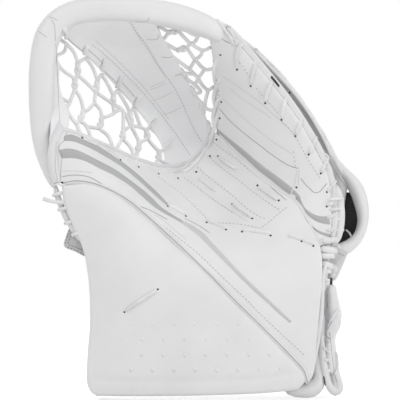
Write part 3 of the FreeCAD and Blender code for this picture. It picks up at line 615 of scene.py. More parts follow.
finger_grid = filled(
    foot=[(7, 318), (22, 320)], top=[(104.2, 133.6), (112, 134)], left=run_of("""
        7 318, 11 294, 12.4 259, 13 241, 18.5 227, 35.6 208.6, 61.6 185.6, 82.6 172.6, 91.6 158.4, 104.2 133.6
    """), right=run_of("22 320, 36 304, 54 283.5, 71 262, 88 238, 101.5 213.5, 110 196, 113.5 177, 114 159, 112 134"),
    step=STEP,
)
finger_shell = shell("finger_shell", finger_grid, catching, FRONT, 14.6, crown=1.8, reach=7, rim=1.6)
dress(finger_shell, "front_leather", "front", "finger_panel", "finger_foam", "finger_gusset")

stem_grid = filled(
    foot=run_of("-30 200, -14 196, 0 204, 9 231"), top=run_of("-124 323, -100 328, -70 329.5, -41 329"),
    left=run_of("""
        -30 200, -33.5 219.5, -43.5 236, -57.4 253.5, -72 270, -84.8 283.5, -99.2 297.5, -115 311, -124 323
    """), right=run_of("9 231, 6 243, -1 259, -13.5 281, -24 300, -33.5 315, -41 329"), step=STEP,
)


def stem_surface(x, z):
    """The catching surface, running up onto the band at the head of the T."""
    return catching(x, z) - 10.5 * eased((z - 301) / 27)


stem_shell = shell("t_stem_shell", stem_grid, stem_surface, PALM, 7.0, start=0.8, crown=0.8, reach=5, rim=2.4)
dress(stem_shell, "palm_leather", "front", "t_stem", "t_stem_back")

BAND_PATH = run_of("""
    -124.5 -49 182, -130.5 -50 196, -135 -51 214, -136.5 -51 233, -136 -51 259, -135 -50 290, -129 -49 316,
    -112 -47 331, -84 -46 335.5, -54 -45 335, -24 -40 331, 2 -33 323, 21 -27 313
""")
BAND_GIRTH = [2.5, 4.0, 6.4, 8.6, 10.8, 11.2, 11.2, 11.2, 11.0, 11.0, 11.0, 10.0, 7.0]
band = roll("t_band_roll", BAND_PATH, BAND_GIRTH, BAND, step=2.5, sides=36, squared=2.7)
dress(band, "band_leather", "front", "t_band_thumb", "t_band_finger")

# ---- Linings behind the front panels ----
cuff_lining_grid = filled(
    foot=run_of("-90 9, -40 7.5, 40 8.5, 88 11"),
    top=run_of("-116 184, -96 185, -60 171, -32 160, 13 149, 61 137, 101 127"),
    left=run_of("-90 9, -93 68, -94 96, -99 126, -107 152, -116 170, -116 184"),
    right=run_of("88 11, 96 42, 101 85, 101 127"), step=5.0,
)
cuff_lining = shell("cuff_lining", cuff_lining_grid, catching, LINING, 2.0, start=15.2, crown=0.5, rim=0.9)
dress(cuff_lining, "cuff_lining", "cuff_thumb", "cuff_liner")

palm_lining_grid = filled(
    foot=LACING_ROW, top=[(x - 1.2, z - 1.2) for x, z in BREAK],
    left=run_of("-29 165, -25 178, -18 191, -13 200, -2 205, 7 222, 10.8 230.8"), right=[(102, 130), (102.4, 132.6)],
    step=5.0,
)
palm_lining = shell("palm_lining", palm_lining_grid, catching, BLACK, 1.8, start=4.9, crown=0.3, rim=0.8)
dress(palm_lining, "liner", "front", "palm_liner")

tail = roll(
    "cuff_lining_tail_roll",
    run_of("72 -37 7.2, 82 -35 7, 93 -32 8.6, 100.5 -30 12, 102 -28 22, 101.6 -26.5 36, 100.6 -25.5 50, 100 -25 62"),
    [2.8, 4.8, 7.4, 7.0, 6.0, 5.6, 4.6, 2.6], BACK, step=2.5, sides=20,
)
stuffed(tail, 1.2, 2.6)
dress(tail, "cuff_lining", "cuff_thumb", "liner_tail_roll")

# ---- Back of the hand ----
# The backhand's foot, thumb side and finger side
BACKHAND_RIM = runs_of("""
    -38 154.5, 4 153, 44 152.5, 72 150.5, 90 139, 108 131; -38 154.5, -33 171, -9 197, 11 223, 18 261, 18.5 300,
    18.5 321; 108 131, 117 141, 123 152, 127 165, 129 178, 130.5 189, 121 209, 112.5 226, 98 249, 85.5 267, 70.5 285,
    44 310.5, 27 322
""")
rim_foot, rim_left, rim_right = BACKHAND_RIM
backhand_grid = filled(rim_foot, [(18.5, 321), (27, 322)], rim_left, rim_right, step=4.0)
backhand_shell = shell(
    "backhand_shell", backhand_grid, backhand, BACK, 14.0, start=-14.0, crown=0, reach=14, rim=4.0, back_crown=2.5,
)
QUILTING = runs_of("""
    -24 168, 6 186, 34 202, 52 226, 44 262, 30 300; 12 160, 40 176, 66 200, 72 226, 62 252, 46 282; 50 160, 74 174,
    94 196, 96 214; 14 222, 40 196, 74 170, 98 150; 22 256, 50 228, 84 198, 116 172; 24 290, 52 260, 84 232, 104 212
""")
stuffed(backhand_shell, 3.0, 5.0, QUILTING + BACKHAND_RIM, 3.4)
dress(backhand_shell, "back_leather", "backhand", "backhand_pad", "backhand_liner")

guard_roll = roll(
    "wrist_guard_roll_shell", run_of("""
        112 30 216, 124 31 199, 136 31 184, 141.3 30 170, 143 28 155, 139.5 24 142, 132 17 133.5, 122 10 128.5,
        110 5 126
    """), [2.0, 4.6, 6.6, 6.4, 5.2, 4.8, 5.2, 5.4, 4.0], BACK, step=2.5, sides=24, flat=1.4,
)
stuffed(guard_roll, 1.0, 2.6)
dress(guard_roll, "back_leather", "backhand", "wrist_guard_roll")

opening_grid = filled(
    foot=[(111, 133), (121, 131.5)], top=[(123, 179), (133, 179)], left=run_of("111 133, 116 148, 120 162, 123 179"),
    right=run_of("121 131.5, 136 141, 141.5 155, 139 169, 133 179"), step=3.0,
)
opening_lining = shell("wrist_opening_lining", opening_grid, backhand, BLACK, 2.0, start=-5.5, crown=0.2, rim=0.9)
dress(opening_lining, "mesh", "backhand", "wrist_mesh")

guard_grid = filled(
    foot=run_of("-121 191, -98 191, -78 185, -58 175, -33 165"),
    top=run_of("-119 224, -84 214.5, -52 200.5, -21 190"), left=run_of("-121 191, -123 206, -119 224"),
    right=run_of("-33 165, -27 178, -21 190"), step=3.5,
)
thumb_guard = shell(
    "thumb_back_guard_shell", guard_grid, thumb_back, BACK, 8.0, crown=0, reach=8, rim=3.0, back_crown=2.0,
)
stuffed(thumb_guard, 2.0, 3.6)
dress(thumb_guard, "back_leather", "cuff_thumb", "thumb_back_guard")


SLEEVE_SIDES = 28
SLEEVE_WALL = 1.5
SLEEVE_RIPPLE = 0.02  # share by which the girth waves along the sleeve


def sleeve(name, base, lean, length, radius, wall, finish):
    """A soft finger sleeve: open at the base, domed at the tip."""
    axis = np.array(lean, float) / np.linalg.norm(lean)
    across = np.cross((0, 1, 0), axis)
    across /= np.linalg.norm(across)
    deep = np.cross(axis, across)
    dome = length - radius + radius * np.sin(np.linspace(0.15, 1.5, 8))
    heights = np.concatenate([np.linspace(0, length - radius, 12), dome])
    turns = 2 * math.pi * np.arange(SLEEVE_SIDES) / SLEEVE_SIDES
    around = across * np.cos(turns)[:, None] + deep * np.sin(turns)[:, None]
    rings = []
    for girth, lift, order in ((radius, 0, 1), (radius - wall, wall, -1)):
        for height in np.minimum(heights, length - lift - 0.05)[::order]:
            over = max(0.0, height - (length - lift - girth)) / girth
            r = girth * math.sqrt(max(0.02, 1 - over * over))
            r *= 1 + SLEEVE_RIPPLE * math.sin(height * 0.5)
            rings.append(np.array(base) + axis * height + r * around)
    return mesh(name, np.concatenate(rings), ring_faces(len(rings), SLEEVE_SIDES, closed=True), finish)


FINGER_RADIUS = 10.9
FINGERS = (  # name, base, direction, length
    ("index", (26, 58.5, 209), (0, -20, 72), 72.0),
    ("middle", (48, 46, 188), (0, -17, 82), 82.0),
    ("ring", (70, 31.5, 172), (0, -11, 82), 82.0),
    ("little", (92, 19, 158), (-1, -3, 60), 54.0),
)
for finger, base, lean, length in FINGERS:
    piece = sleeve(f"finger_sleeve_{finger}", base, lean, length, FINGER_RADIUS, SLEEVE_WALL, BLACK)
    dress(piece, "stall_lining", "finger_side", f"finger_stall_{finger}")
thumb_sleeve = sleeve("thumb_sleeve", (-47, 8.5, 177), (-56, -32.5, 22), 68.0, 11.4, SLEEVE_WALL, BLACK)
dress(thumb_sleeve, "stall_lining", "cuff_thumb", "thumb_stall")

# ---- Cuff sides and straps ----
def plan_run(plan, step=3.0):
    """A path in plan with its corners rounded, evenly spaced."""
    points = [np.array(p, float) for p in plan]
    line = [points[0]]
    for a, b, c in zip(points, points[1:], points[2:]):
        before, after = np.linalg.norm(b - a), np.linalg.norm(c - b)
        cut = 0.45 * min(before, after)
        start, end = b + (a - b) / before * cut, b + (c - b) / after * cut
        line += [start * (1 - t) ** 2 + 2 * b * t * (1 - t) + end * t * t for t in np.linspace(0, 1, 8)]
    line.append(points[-1])
    line = np.array(line)
    return resampled(line, np.linspace(0, 1, max(3, int(length_of(line) / step) + 1)))


def upright(name, plan, section, finish, step=3.0, tips=0):
    """A piece swept along a path in plan; section holds closed (outward, z) points, tips rounds both ends."""
    line = plan_run(plan, step)
    ahead = np.gradient(line, axis=0)
    ahead /= np.linalg.norm(ahead, axis=1)[:, None]
    outward = np.stack([ahead[:, 1], -ahead[:, 0]], -1)
    section = np.array(section, float)
    middle, half = (section.min(0) + section.max(0)) / 2, (section.max(0) - section.min(0)) / 2
    verts = []
    for k, (spot, out) in enumerate(zip(line, outward)):
        from_end = min(k, len(line) - 1 - k)
        size = math.sqrt(max(0.03, 1 - (1 - from_end / tips) ** 2)) if from_end < tips else 1.0
        shrunk = middle + (section - middle) * (1 - min(half) * (1 - size) / half)
        verts.append(np.column_stack([spot + out * shrunk[:, :1], shrunk[:, 1]]))
    return mesh(name, np.concatenate(verts), ring_faces(len(line), len(section)), finish)


def rounded_box(low, high, radius, bulge=0.0):
    """Closed section points of a box with rounded corners, its upright sides bowed out a little."""
    (a, b), (c, d) = low, high
    left, right, foot, top = a + radius, c - radius, b + radius, d - radius
    corners = ((right, top), (left, top), (left, foot), (right, foot))
    out = []
    for k, (x, z) in enumerate(corners):
        arc = [(x + radius * math.cos(t), z + radius * math.sin(t)) for t in np.radians(90 * k + np.linspace(0, 90, 6))]
        (x0, z0), (next_x, next_z) = arc[-1], corners[(k + 1) % 4]
        dx, dz = next_x - x, next_z - z
        bowed = (0, -bulge, 0, bulge)[k]
        wall = [(x0 + dx * t + bowed * math.sin(math.pi * t), z0 + dz * t) for t in np.linspace(0, 1, 10)[1:-1]]
        out += arc + wall
    return out


SIDE_PAD = run_of("""
    108 11, 112 7.5, 117 9, 119 18, 116.5 28, 114.8 41, 114.5 54, 118.5 62, 119.5 72, 117.7 80, 115.6 90, 114 98,
    110.5 101, 107.5 97, 107 85, 108 70, 107 56, 105.8 42, 106 28, 106.8 18
""")
side_section = smooth(SIDE_PAD[-1:] + SIDE_PAD + SIDE_PAD[:2], 4)[4:-4]
side_pad = upright(
    "side_pad_shell", run_of("112 -29, 115 10, 113.5 45, 107 71"), side_section - [112, 0], BACK, step=2.5, tips=4,
)
stuffed(side_pad, 1.6, 3.0)
dress(side_pad, "back_leather", "side_pad", "side_pad")

side_wall = upright(
    "thumb_side_wall_shell", run_of("-93 -33, -93 0, -89 26"), rounded_box((0, 3.0), (9, 112), 3.6, 1.2), BACK,
    step=2.5, tips=3,
)
stuffed(side_wall, 1.4, 3.0)
dress(side_wall, "back_leather", "cuff_thumb", "thumb_side_wall")

wrist_strap = upright(
    "wrist_strap_webbing", run_of("-98 -34, -84 5, -50 36, -5 48, 40 46, 78 32"),
    rounded_box((0, 119), (2.4, 151), 0.9), STRAP_WHITE,
)
dress(wrist_strap, "webbing", "wrist_strap", "wrist_strap")
cuff_strap = upright(
    "cuff_strap_webbing", run_of("108 76, 92 82, 40 82, -10 73, -60 50, -92 29.5"),
    rounded_box((0, 32), (2.4, 70), 0.9), STRAP_WHITE,
)
dress(cuff_strap, "webbing", "cuff_strap", "cuff_strap")


FLAP_SECTION = ((0.9, -1), (0.35, -0.85), (0, -0.5), (0, 0.5), (0.35, 0.85), (0.9, 1))  # inset, share of thickness


FLAP_POINTS = 120


def flap(name, outline, depth, thick, finish):
    """A flat strap end or tab: an outline of (x, z) points, its rim rounded over."""
    edge = resampled(smooth(outline + outline[:1], 6), np.linspace(0, 1, FLAP_POINTS))[:-1]
    middle = edge.mean(0)
    inward = middle - edge
    inward /= np.linalg.norm(inward, axis=1)[:, None]
    verts = []
    for inset, share in FLAP_SECTION:
        ring = edge + inward * inset
        verts.append(np.insert(ring, 1, depth + share * thick / 2, axis=1))
    return mesh(name, np.concatenate(verts), ring_faces(len(FLAP_SECTION), len(edge)), finish)


tab = flap(
    "wrist_strap_tab_webbing",
    run_of("-109.8 154.5, -114 144.5, -117 132.8, -108 128.3, -97 123.6, -94.5 134, -97 150"), -39.4, 2.4, WEBBING,
)
dress(tab, "webbing", "cuff_thumb", "wrist_strap_tab")
heel = flap(
    "heel_strap_flap", run_of("106.5 136, 128.3 127, 127.6 124, 118.6 104, 113 103, 107.5 104"), -2.4, 2.4, BACK,
)
dress(heel, "webbing", "backhand", "heel_strap")
tongue = flap(
    "tongue_strap_flap",
    run_of("111 67.5, 117.5 78.5, 119.8 77.5, 121.3 66.5, 119 60, 115.5 54.5, 112 53.2, 109.3 56, 109.5 61"), -33.2,
    2.6, BACK,
)
dress(tongue, "webbing", "side_pad", "tongue_strap")

# ---- The laced webs ----
WEB_DEPTH = 3.0
LACE_GIRTH = 1.6
WEAVE_DEPTH = 0.5  # how far strands pass over and under each other
KNOT_GIRTH = 1.12  # girth of a twisted pair, as a share of the lace's own
KNOT_TURNS = 0.75
KNOT_WIDTH = 1.5


def on_web(x, z, deeper=0.0):
    return np.array([x, float(catching(x, z)) + WEB_DEPTH + deeper, z])


def plait(start, end, turns, girth, wide):
    """Two laces twisted round each other from start to end, each as a path of points."""
    ahead = (end - start) / np.linalg.norm(end - start)
    side = np.cross(ahead, (0, 1, 0))
    side /= np.linalg.norm(side)
    up = np.cross(side, ahead)
    t = np.linspace(0, 1, 22)
    swell = wide * np.sin(np.pi * np.clip(t, 0.03, 0.97)) ** 0.6
    out = []
    for phase in (0, math.pi):
        angle = phase + t * turns * 2 * math.pi
        spread = side * (swell * np.cos(angle))[:, None] + up * (swell * 0.7 * np.sin(angle))[:, None]
        out.append(start + (end - start) * t[:, None] + spread)
    return out, [girth * KNOT_GIRTH] * 2


def knots_of(text):
    """Named (x, z) points."""
    return {name: (float(x), float(z)) for name, x, z in (knot.split() for knot in text.split(","))}


def web(name, knots, strands, tight):
    """A laced net as one mesh: smooth strands from knot to knot, and each tight pair a twisted knot."""
    paths, girths = [], []
    for number, strand in enumerate(strands.split(",")):
        names = strand.split()
        points = [on_web(*knots[n], WEAVE_DEPTH * (-1) ** (number + k)) for k, n in enumerate(names)]
        line = smooth(points, 8)
        if len(points) == 2:
            line = resampled(line, np.linspace(0, 1, 6))
        paths.append(line)
        girths.append(LACE_GIRTH)
    for pair in tight.split(","):
        a, b = (on_web(*knots[n]) for n in pair.split())
        lines, sizes = plait(a, b, KNOT_TURNS, LACE_GIRTH, KNOT_WIDTH)
        paths += lines
        girths += sizes
    return tubes(name, paths, girths, LACE, sides=10)


THUMB_WEB = knots_of("""
    S0 -123 312, S1 -115 306.5, M1 -109 300, K1 -105.5 291, L1 -105.5 280, N1 -117 300, B1 -124 295, N2 -119 285,
    K2 -108 277, L2 -108 268, S2 -98.5 295, N4 -98 273.5, K3 -89 276, L3 -90.5 266, N5 -93 287, S3 -85.5 281.5,
    L4 -91.5 256.5, N6 -80.5 273.5, K5 -75.5 263, L5 -76 256, S4 -72 268, N7 -97 250, K10 -100.5 249,
    L10 -103.5 240.5, N8 -86.5 250.5, K11 -85 243.5, L11 -87 234, N9 -112 256.5, B2 -114 249, B3 -105.5 236.5,
    N10 -103 259.5, T1 -100.5 224, N11 -97.5 235.5, T2 -92 221, N12 -79 227, T3 -74 213.5, L6 -75 248.5, N13 -78 246,
    K12 -67 232, L12 -67.5 226, N14 -67.5 250.5, K7 -61.5 249, L7 -60.5 237.5, N15 -65 256.5, S5 -58 253,
    N16 -60 217.5, T4 -56 204.5, N17 -56 229, K13 -53 222.5, L13 -54.5 215, N18 -52 236, K9 -47 233.5, L9 -46 226,
    S6 -44.5 236.5, N19 -40.5 219.5, K14 -36 215, L14 -36.5 208, T5 -42 200.5, T6 -25 202, S7 -26 219.5,
    B4 -124.5 262, B5 -118 249
""")
THUMB_STRANDS = """
    S0 S1 M1 K1, S1 N1 B1 N2 K2, S2 K1, L1 K2, L1 N4 L3, S2 N5 K3, S3 K3, L3 L4, S3 N6 K5, S4 K5, L4 N7 K10,
    L4 N8 K11, L2 N9 B2 B3, L2 N10 K10, L10 B3 T1, L10 N11 T2, L11 N11, L11 N12 T3, L3 L5, L5 L6 N13 K11, L6 N14 K12,
    L5 N14 L7, S4 N15 K7, S5 K7, L7 K12, L12 T3, L12 N16 T4, L7 N17 K13, L7 N18 K9, S5 N18, S6 K9, L9 K13, L13 T4,
    L9 N19 K14, S6 S7 K14, L14 T5, L14 T6, T4 T5, B4 N9, B5 B2
"""
THUMB_KNOTS = "K1 L1, K2 L2, K3 L3, K10 L10, K11 L11, K12 L12, K7 L7, K13 L13, K9 L9, K14 L14, K5 L5"
thumb_web = web("thumb_web_laces", THUMB_WEB, THUMB_STRANDS, THUMB_KNOTS)
dress(thumb_web, "lace", "front", "thumb_web_lace")

FINGER_WEB = knots_of("""
    S1 -39 325.5, N1 -34 325, N2 -29 327, N3 -21 326.5, A5 -17 320.5, N4 -32 320, A1 -26.5 317, E1 -19 318,
    W1 -13.5 324, S2 -33 309.5, N5 -26 305.5, A2 -19.5 302, E2 -11.5 304, A3 -8.5 307.5, N6 -13 312, N7 -11 318,
    N8 -6.5 315.5, A6 -1 314.5, W2 0.5 320, N9 -4.5 309, A7 2 302, F1 9 304, A4 -4.5 294, N11 0.5 297.5, A8 -9 286,
    S3 -25 297.5, A9 4 286, F2 11 286.5, N12 -5 282, A10 -1.5 278.5, A11 -5.5 274, S4 -17 283, N13 2 272.5,
    A12 7 268.5, F3 11.5 271, N14 0.5 267, A13 4.5 254, S5 -6 265, F4 14 250, S6 2 248
""")
FINGER_STRANDS = """
    S1 N1 N2 N3 A5, S1 N4 A1, E1 A5 W1, S2 A1, S2 N5 A2, E2 A3, E1 N6 A3, A5 N7 N8 A6 W2, A6 N9 A3, A3 A7 F1, E2 A4,
    A7 N11 A4, A4 A8, A8 S3, A4 A9 F2, A8 N12 A10, A9 A10, A10 A11 S4, A10 N13 A12 F3, A11 N14 S5, A12 A13 F4, S5 A13,
    A13 S6, S2 S1, N12 S4
"""
FINGER_KNOTS = "A1 E1, A2 E2"
finger_web = web("finger_web_laces", FINGER_WEB, FINGER_STRANDS, FINGER_KNOTS)
dress(finger_web, "lace", "front", "finger_web_lace")

# ---- Trim that lies on the panels: inlays, seams, stitches, dark holes of painted shade and laces ----
front_skin = Skin([cuff_shell, front_shell, tip_cap, finger_shell, stem_shell, NODES["finger_edge_roll"]], 1)
band_skin = Skin([band, stem_shell, tip_cap], 1)
front_skin_of_band = Skin([band, finger_shell, stem_shell, NODES["finger_edge_roll"]], 1)
back_skin = Skin([backhand_shell, guard_roll], -1)
side_skin = Skin([backhand_shell], 1)


INLAY_SHARES = (0, 0.06, 0.3, 0.94, 1)  # places across a strip; its first and last sink in
INLAY_SINK = 0.45
INLAY_BACK = 0.5


def inlay(name, edges, skin, finish, lift=0.3, step=1.8):
    """A strip of leather between two runs, sewn on the surface: its edges sink in."""
    upper = even(edges[0], step)
    lower = resampled(smooth(edges[1]), np.linspace(0, 1, len(upper)))
    front, back = [], []
    for a, b in zip(upper, lower):
        for share in INLAY_SHARES:
            point, normal = skin.nearest(*(a + (b - a) * share))
            front.append(point + normal * (lift - (0 if 0 < share < 1 else INLAY_SINK)))
            back.append(point - normal * INLAY_BACK)
    return mesh(name, front + back, slab_faces(len(upper), len(INLAY_SHARES)), finish)


def seams(name, runs, skin, finish, width=0.7, lift=0.1, step=1.6):
    """Raised or sunk seam lines laid along runs, tapering at both ends."""
    paths, sizes = [], []
    for run in runs:
        line = skin.lift(run, lift - width * 0.3, step)
        if len(line) < 3:
            continue
        size = np.full(len(line), width / 2)
        size[0] = size[-1] = width * 0.2
        paths.append(line)
        sizes.append(size)
    return tubes(name, paths, sizes, finish, sides=6)


STITCH_TAPER = np.array([0.5, 0.95, 1, 0.95, 0.5])
STITCH_SUNK = -0.1


def stitches(name, runs, skin, finish, pitch=3.2, length=2.1, girth=0.32, lift=0.12):
    """Rows of short thread stitches."""
    paths, sizes = [], []
    for run in runs:
        line = smooth(run)
        total = length_of(line)
        count = max(1, int(total / pitch))
        for k in range(count):
            start = (k + 0.5) / count - length / total / 2
            ends = resampled(line, [start, start + length / total / 2, start + length / total])
            found = [skin.nearest(*spot) for spot in ends]
            a, b, c = [p + n * h for (p, n), h in zip(found, (STITCH_SUNK, lift, STITCH_SUNK))]
            arch = (b - (a + c) / 2) * 0.3
            paths.append(np.array([a, (a + b) / 2 + arch, b, (b + c) / 2 + arch, c]))
            sizes.append(STITCH_TAPER * girth)
    return tubes(name, paths, sizes, finish, sides=6)


HOLE_SHADE_SECTION = ((1.0, -0.5), (1.0, 0.12), (0.8, 0.25), (0.55, 0.18))  # share of the radius, height


def hole_shades(name, runs, skin, finish, radius=1.3):
    """Small dark holes with a rounded edge, one at every point of the runs: painted shade inside each hole."""
    turns = 2 * math.pi * np.arange(12) / 12
    parts = []
    for spot in sum(runs, []):
        point, normal = skin.nearest(*spot)
        side = np.cross(normal, (0, 0, 1))
        side /= np.linalg.norm(side)
        circle = side * np.cos(turns)[:, None] + np.cross(side, normal) * np.sin(turns)[:, None]
        rings = [point + normal * height + radius * size * circle for size, height in HOLE_SHADE_SECTION]
        parts.append((np.concatenate(rings), ring_faces(len(rings), len(turns))))
    return joined(name, parts, finish)


LACE_STEP = 1.6
LACE_SLOPE = 2.6  # length over which a lace comes up out of its hole


def laid_laces(name, runs, skin, finish, girth=1.6, flat=0.62, rise=1.0, dip=-1.6):
    """Flat laces over the leather, each dipping into a hole at both of its ends."""
    paths = []
    for run in runs:
        line = smooth(run, 10)
        spots = resampled(line, np.linspace(0, 1, max(9, int(length_of(line) / LACE_STEP))))
        keep = [skin.nearest(*spot) for spot in spots]
        share = np.linspace(0, 1, len(keep))
        from_end = np.minimum(share, 1 - share) * length_of(line)
        height = dip + (rise - dip) * np.sqrt(np.clip(1 - (1 - np.minimum(from_end / LACE_SLOPE, 1)) ** 2, 0, 1))
        paths.append(np.array([p + n * h for (p, n), h in zip(keep, height)]))
    return tubes(name, paths, girth, finish, sides=10, flat=flat)


def trim(make, name, skin, finish, slot, how, *nodes, runs, **shape):
    """Makes trim along runs on a skin, and dresses it."""
    dress(make(name, runs, skin, finish, **shape), slot, how, *nodes)


# Grey stripes
trim(inlay, "upper_grey_stripe", front_skin, STRIPE, "front_leather", "front", runs=runs_of("""
    -116.1 227.1, -110.5 228.5, -103.4 225.9, -94.5 221.9, -85.6 217.7, -73.7 209.8, -65.1 203.8, -55.1 195.8,
    -45.8 187.2, -36.5 178.5, -27.8 169.2; -116.1 222.7, -108.8 222.3, -99.8 219.2, -90.9 214.9, -77.7 207.4,
    -67 200.4, -57.1 192.4, -47.1 183.7, -37.8 175.2, -28.9 167.5
"""))
trim(inlay, "lower_grey_stripe", front_skin, STRIPE, "front_leather", "front", runs=runs_of("""
    -120.1 215.3, -112.2 216.4, -102.7 214.2, -87 206.2, -73.7 199.2, -60.4 189.8, -48.4 180.5, -40.4 173.2,
    -33.8 166.5, -23.1 159.2, -16.4 155.4; -117.9 207.7, -107.4 207.8, -97.4 205.1, -87 199.8, -73.7 193.1,
    -60.4 184.5, -49.8 175.2, -40.4 166.9, -30.4 160.5, -23.5 156.8, -16.4 152.8
"""))
trim(inlay, "wing_grey_stripe", front_skin, PALE_STRIPE, "front_leather", "front", runs=runs_of("""
    -16.1 154.9, -7.1 150.6, 2.9 143.9, 10.8 135.5, 23.1 122.6, 36.1 108.8, 50.5 95.2, 62 84.4, 70.3 76.6, 78.3 68.7;
    -16.1 152.3, -3.8 143.3, 6.2 133.9, 21.7 118.5, 34.6 105.5, 47.6 93.2, 59.9 82.3, 67.1 75.5, 77 67
"""))
trim(inlay, "finger_grey_stripe", front_skin, STRIPE, "front_leather", "front", runs=runs_of("""
    15 235.2, 18.1 232.6, 26 226.1, 36.8 217.5, 47.7 208.1, 58.5 199.4, 69.3 191.5, 80.5 182.7; 14.8 233.3,
    22.4 225.4, 31.8 216, 41.8 206.6, 51.9 197.2, 62 189.3, 70.7 182.1, 78.1 176.8
"""))
trim(inlay, "heel_grey_stripe", front_skin, STRIPE, "front_leather", "front", runs=runs_of("""
    81.1 181.3, 84.4 178.5, 86.8 175.2, 87.8 171.4, 90.9 165.5, 97.4 160.6, 104.6 158.3, 113.1 158.7; 78.8 175.4,
    83.1 172, 86.7 169.3, 89.1 166.3, 93.1 159.4, 100.9 153.6, 110.4 151, 114 151.7
"""))
trim(inlay, "heel_lower_grey_stripe", front_skin, STRIPE, "front_leather", "front", runs=runs_of("""
    90 159.6, 93.1 154.3, 97 150, 103.2 145.6, 112.7 142.9; 89.6 158.9, 93.5 152, 97.9 147.2, 103.4 143.2, 112.2 139.9
"""))

# Dark lines of painted shade along folds and panel edges
trim(seams, "panel_edge_lines", front_skin, EDGE_SHADE, "front_leather", "front", width=0.75, lift=0.12, runs=runs_of("""
    17 252.1, 23.1 244.9, 31.1 236.9, 40.5 229, 50.5 221.1, 60.6 213.2, 69.3 207, 76.5 202.7, 82.3 200.4, 85.9 199.8;
    46.5 197.2, 54.8 189.7, 62 183.2, 69.3 177, 75.1 172; 87.3 191.5, 90.9 186.4, 95.3 182.1, 98.8 178.9, 103.2 179.2,
    106.7 182.9, 110.1 187.1; -13.7 156.6, -1.8 150.6, 8.9 143.6; -118.3 191.7, -113.1 193.2, -105.1 193.6,
    -96.2 192.3, -89.1 189.1, -80.2 183.7, -74 179.9, -67 174.5, -61.3 170.2, -59.2 171.4; -58.4 168.9, -47.1 165.2,
    -37.1 160.5, -27.8 155.2; 6.4 318.1, 15.8 312.9, 25.8 307.3
"""))
trim(seams, "panel_fold_lines", front_skin, FOLD_SHADE, "front_leather", "front", width=0.6, lift=0.1, runs=runs_of("""
    18.8 261.4, 34.6 247.1, 47.7 235.5, 62 223.9, 72.9 216.7, 80.8 211.7; 26 269.7, 36.8 260.3, 54.8 248.5,
    62.6 242.7; 19.1 280.1, 34.8 269.7, 50.5 258.4, 66.1 244.5, 78.3 233.2; 84.2 198.7, 83.1 191.4, 81.9 182.9;
    86 198.7, 85.6 191.4, 85.2 185; -40.4 160.5, -30.4 153.9, -20.4 145.3, -11.1 137.9; 0 181.7, 10.8 173, 21.7 166.3,
    32.5 159, 41.8 153.6; -117.5 197, -105.3 197, -91.3 195.4
"""))
trim(stitches, "palm_stitch_rows", front_skin, THREAD, "lace", "front", runs=runs_of("""
    -37.1 193.1, -27.1 185.8, -17.1 178.5, -7.1 169.2, 6.2 155.9; -14.4 192.5, -0.4 181.8, 17.4 168.5, 28.7 160.9;
    -3.1 201.8, 6.2 193.8, 17.4 185.2, 25.2 178.9, 37.5 168, 47.6 160.1, 57 155.7; 8.2 210.5, 17.4 201.8, 33.9 189.7,
    46.2 179.6, 59.2 170.2, 69.3 163.6; 5.2 154.3, 17.3 152.5, 28.9 151.8, 40.4 150.3, 49.8 148.2, 53.4 148.5,
    61.3 154.7, 68.6 160.8, 75.8 166.2; -29.6 148.8, -17.4 138.8, 0 124.8, 17.3 108.1, 30.3 95.9, 43.3 83.6,
    49.8 76.6, 71.3 56.1, 89.6 39.1; 11.3 223.6, 20.9 216.2, 34.8 205.3, 45.2 196.6; 70.5 240.1, 76.5 235.3,
    84.4 224.5, 90.5 213.2, 97.4 201.4, 104.4 190.5; 48.3 269.7, 54.8 262.3, 61.8 254.5, 67.9 247.1; 33.5 292.3,
    40 283.6, 46.1 274.9; 10.4 294.1, 13.5 280.1, 16.1 266.2, 16.5 255.8; 113.1 175.7, 113.6 163.6, 114 151.4,
    113.1 139.2; 81.1 215.8, 82.2 207.1, 83.1 200.1
"""))
trim(
    stitches, "stem_stitch_rows", front_skin, THREAD, "lace", "front",
    pitch=2.6, length=1.7, girth=0.34, runs=runs_of("""
        -60 328.9, -55.3 318.2, -45.9 305.9, -38 292.8, -31.3 282.8, -23.6 272.3, -16.5 259.3, -10.4 245.3,
        -3.9 232.3, 1.7 223.6; -93.1 306.2, -86.1 301, -75.7 291.9, -65.2 281.9, -55.2 271.9, -45.2 261, -34.8 248.4,
        -25.2 235.8, -16.5 223.6, -8.3 211.4
    """),
)
# Pale grey lines of painted shade at the seams across the stem.
trim(seams, "stem_cross_seams", front_skin, FOLD_SHADE, "palm_leather", "front", width=0.6, lift=0.1, runs=runs_of("""
    -44.4 270.6, -37 273.4, -30.4 276.5; -43.5 268.7, -36.1 271.4, -29.1 274.7; -41.3 259.3, -32.2 262.7, -23.5 267.1;
    -32.6 247.1, -24.4 249.9, -16.5 253.5; -55.7 325.4, -50.5 324.9, -44.8 325.9; -46.6 310.8, -41.3 310.3,
    -36.1 311.5; -33.7 296.3, -28.3 295.8, -23.5 296.7; -22.1 280.1, -19.6 281.2, -17.4 282.6; -64.4 333.2,
    -61.8 327.1, -57 319.3, -50.5 309.7, -43.1 299.3, -36.5 288.8, -29.6 279.3; -90 309.7, -80 301, -68.7 290.6,
    -57.9 280.1, -47.9 269.3, -37.4 256.6, -27 242.7
"""))
trim(hole_shades, "front_lace_holes", front_skin, HOLE_AND_GAP_SHADE, "ring", "front", radius=0.95, runs=runs_of("""
    83.7 183.2, 56.6 256.3, 70.7 241.9, 82.7 227.6, 94.2 211.7, 104.7 195.4, 109.9 179.2, 109.6 166.7, 32 285.2,
    43.9 271.1, 17.3 243.8, 14.4 225.4, 8.7 211, 17.6 297.7, 18.6 257.9
"""))
